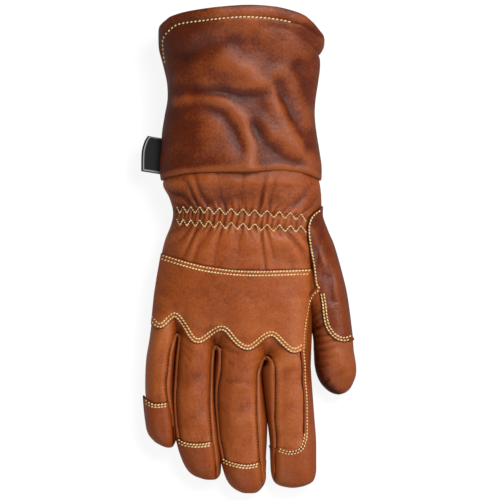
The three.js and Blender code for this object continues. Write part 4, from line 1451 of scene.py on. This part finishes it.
def stitch_object(name, middles, ways, normals, length, width, thread):
    """One mesh of all the stitches of a seam, each turned a little across its row, as locked thread lies."""
    ways = ways + SLANT * np.cross(normals, ways)
    ways = ways / np.linalg.norm(ways, axis=1, keepdims=True)
    points, stitch = capsules(middles, ways, normals, length, width)
    faces = [tuple(corner + 32 * i for corner in face) for i in range(len(middles)) for face in stitch]
    mesh = bpy.data.meshes.new(name)
    mesh.from_pydata(points.reshape(-1, 3) * 0.001, [], faces)
    return on_glove(name, mesh, thread)


def stitch_row(line, surface, pitch=STITCH_PITCH):
    """Middles, ways and normals of the stitches along a dense plan line, a pitch apart."""
    run = np.linalg.norm(np.diff(line, axis=0), axis=1).sum()
    count = max(int(round(run / pitch)), 1)
    cuts = even(line, np.linspace(0, 1, count + 1))
    on_top, normal = seat(cuts, surface)
    ways = np.diff(on_top, axis=0)
    ways = ways / np.linalg.norm(ways, axis=1, keepdims=True)
    normal = normal[:-1] + normal[1:]
    normal = normal - (normal * ways).sum(1, keepdims=True) * ways
    normal = normal / np.linalg.norm(normal, axis=1, keepdims=True)
    return (on_top[:-1] + on_top[1:]) / 2 + normal * STITCH_LIFT, ways, normal


def sew(name, rows, length=STITCH_LENGTH, width=THREAD, thread=STRAW_THREAD):
    """All the rows of one seam as one object."""
    middles, ways, normals = (np.vstack(part) for part in zip(*rows))
    return stitch_object(name, middles, ways, normals, length, width, thread)


def clip(line, low_x, high_x):
    """The stretch of a dense line between two x."""
    return line[(line[:, 0] > low_x) & (line[:, 0] < high_x)]


hem_line = clip(along(HEM[:11], 12), -64, 60)
sew("rim_stitches", [stitch_row(hem_line, [cuff_surface], 3.0)], length=2.5)
strap_lines = [clip(beside(line, off), low_x, high_x) for line, off, low_x, high_x in STRAP_ROWS]
sew("strap_stitches", [stitch_row(line, [strap_surface]) for line in strap_lines])
for finger, edge in CAP_EDGES.items():
    low_x = edge[0][0] + 0.8
    high_x = seams[CAP_SEAMS[finger]](edge[-1][1]) - 0.9
    cap_lines = [clip(beside(edge, -off), low_x, high_x) for off in CAP_ROWS_OFF]
    sew(f"tip_cap_{finger}_stitches", [stitch_row(line, [cap_surfaces[finger]]) for line in cap_lines])
sew("index_wrap_stitches", [
    stitch_row(beside(INDEX_WRAP_ROW[:-1], 0), [wrap_surface], 2.3),
    stitch_row(beside(INDEX_WRAP_ROW[WRAP_CORNER:-1], -WRAP_ROWS_APART), [wrap_surface], 2.3),
], length=1.75, width=1.0)
patch_lines = [beside(line[1:], off) for line, off in THUMB_PATCH_ROWS]
sew("thumb_patch_stitches", [stitch_row(line, [patch_surface]) for line in patch_lines])

back_surface = [(grid, normals_of(grid)) for grid in back_grids.values()]
zigzag_rows = []
for heights in (ZIGZAG_UPPER_Y, ZIGZAG_LOWER_Y):
    half_teeth = np.arange(0, 2 * len(ZIGZAG_PEAKS) - 2)
    x = np.interp(half_teeth / 2, np.arange(len(ZIGZAG_PEAKS)), ZIGZAG_PEAKS)
    y = np.interp(x, ZIGZAG_X, heights) + ZIGZAG_HALF_HEIGHT * (-1) ** half_teeth
    zigzag_rows.append(stitch_row(np.stack([x, y], axis=1), back_surface, 1.75))
sew("elastic_stitches", zigzag_rows, length=1.5, width=0.9)

side_seam_rows = []
for name, inward in SEAM_SIDES.items():
    line = beside(SEAMS[name][1:], 0) + np.array([inward, 0])
    side_seam_rows.append(stitch_row(line[:-14], back_surface, 2.2))
sew("side_seam_stitches", side_seam_rows, length=1.4, width=0.8, thread=BROWN_THREAD)

bar_rows = []
for x, y in CROTCH_BARS:
    bar = np.array([[x - BAR_HALF_LENGTH, y], [x, y + 0.7], [x + BAR_HALF_LENGTH, y]])
    bar_rows.append(stitch_row(bar, back_surface, 1.7))
sew("crotch_bars", bar_rows, length=1.5, width=0.75)
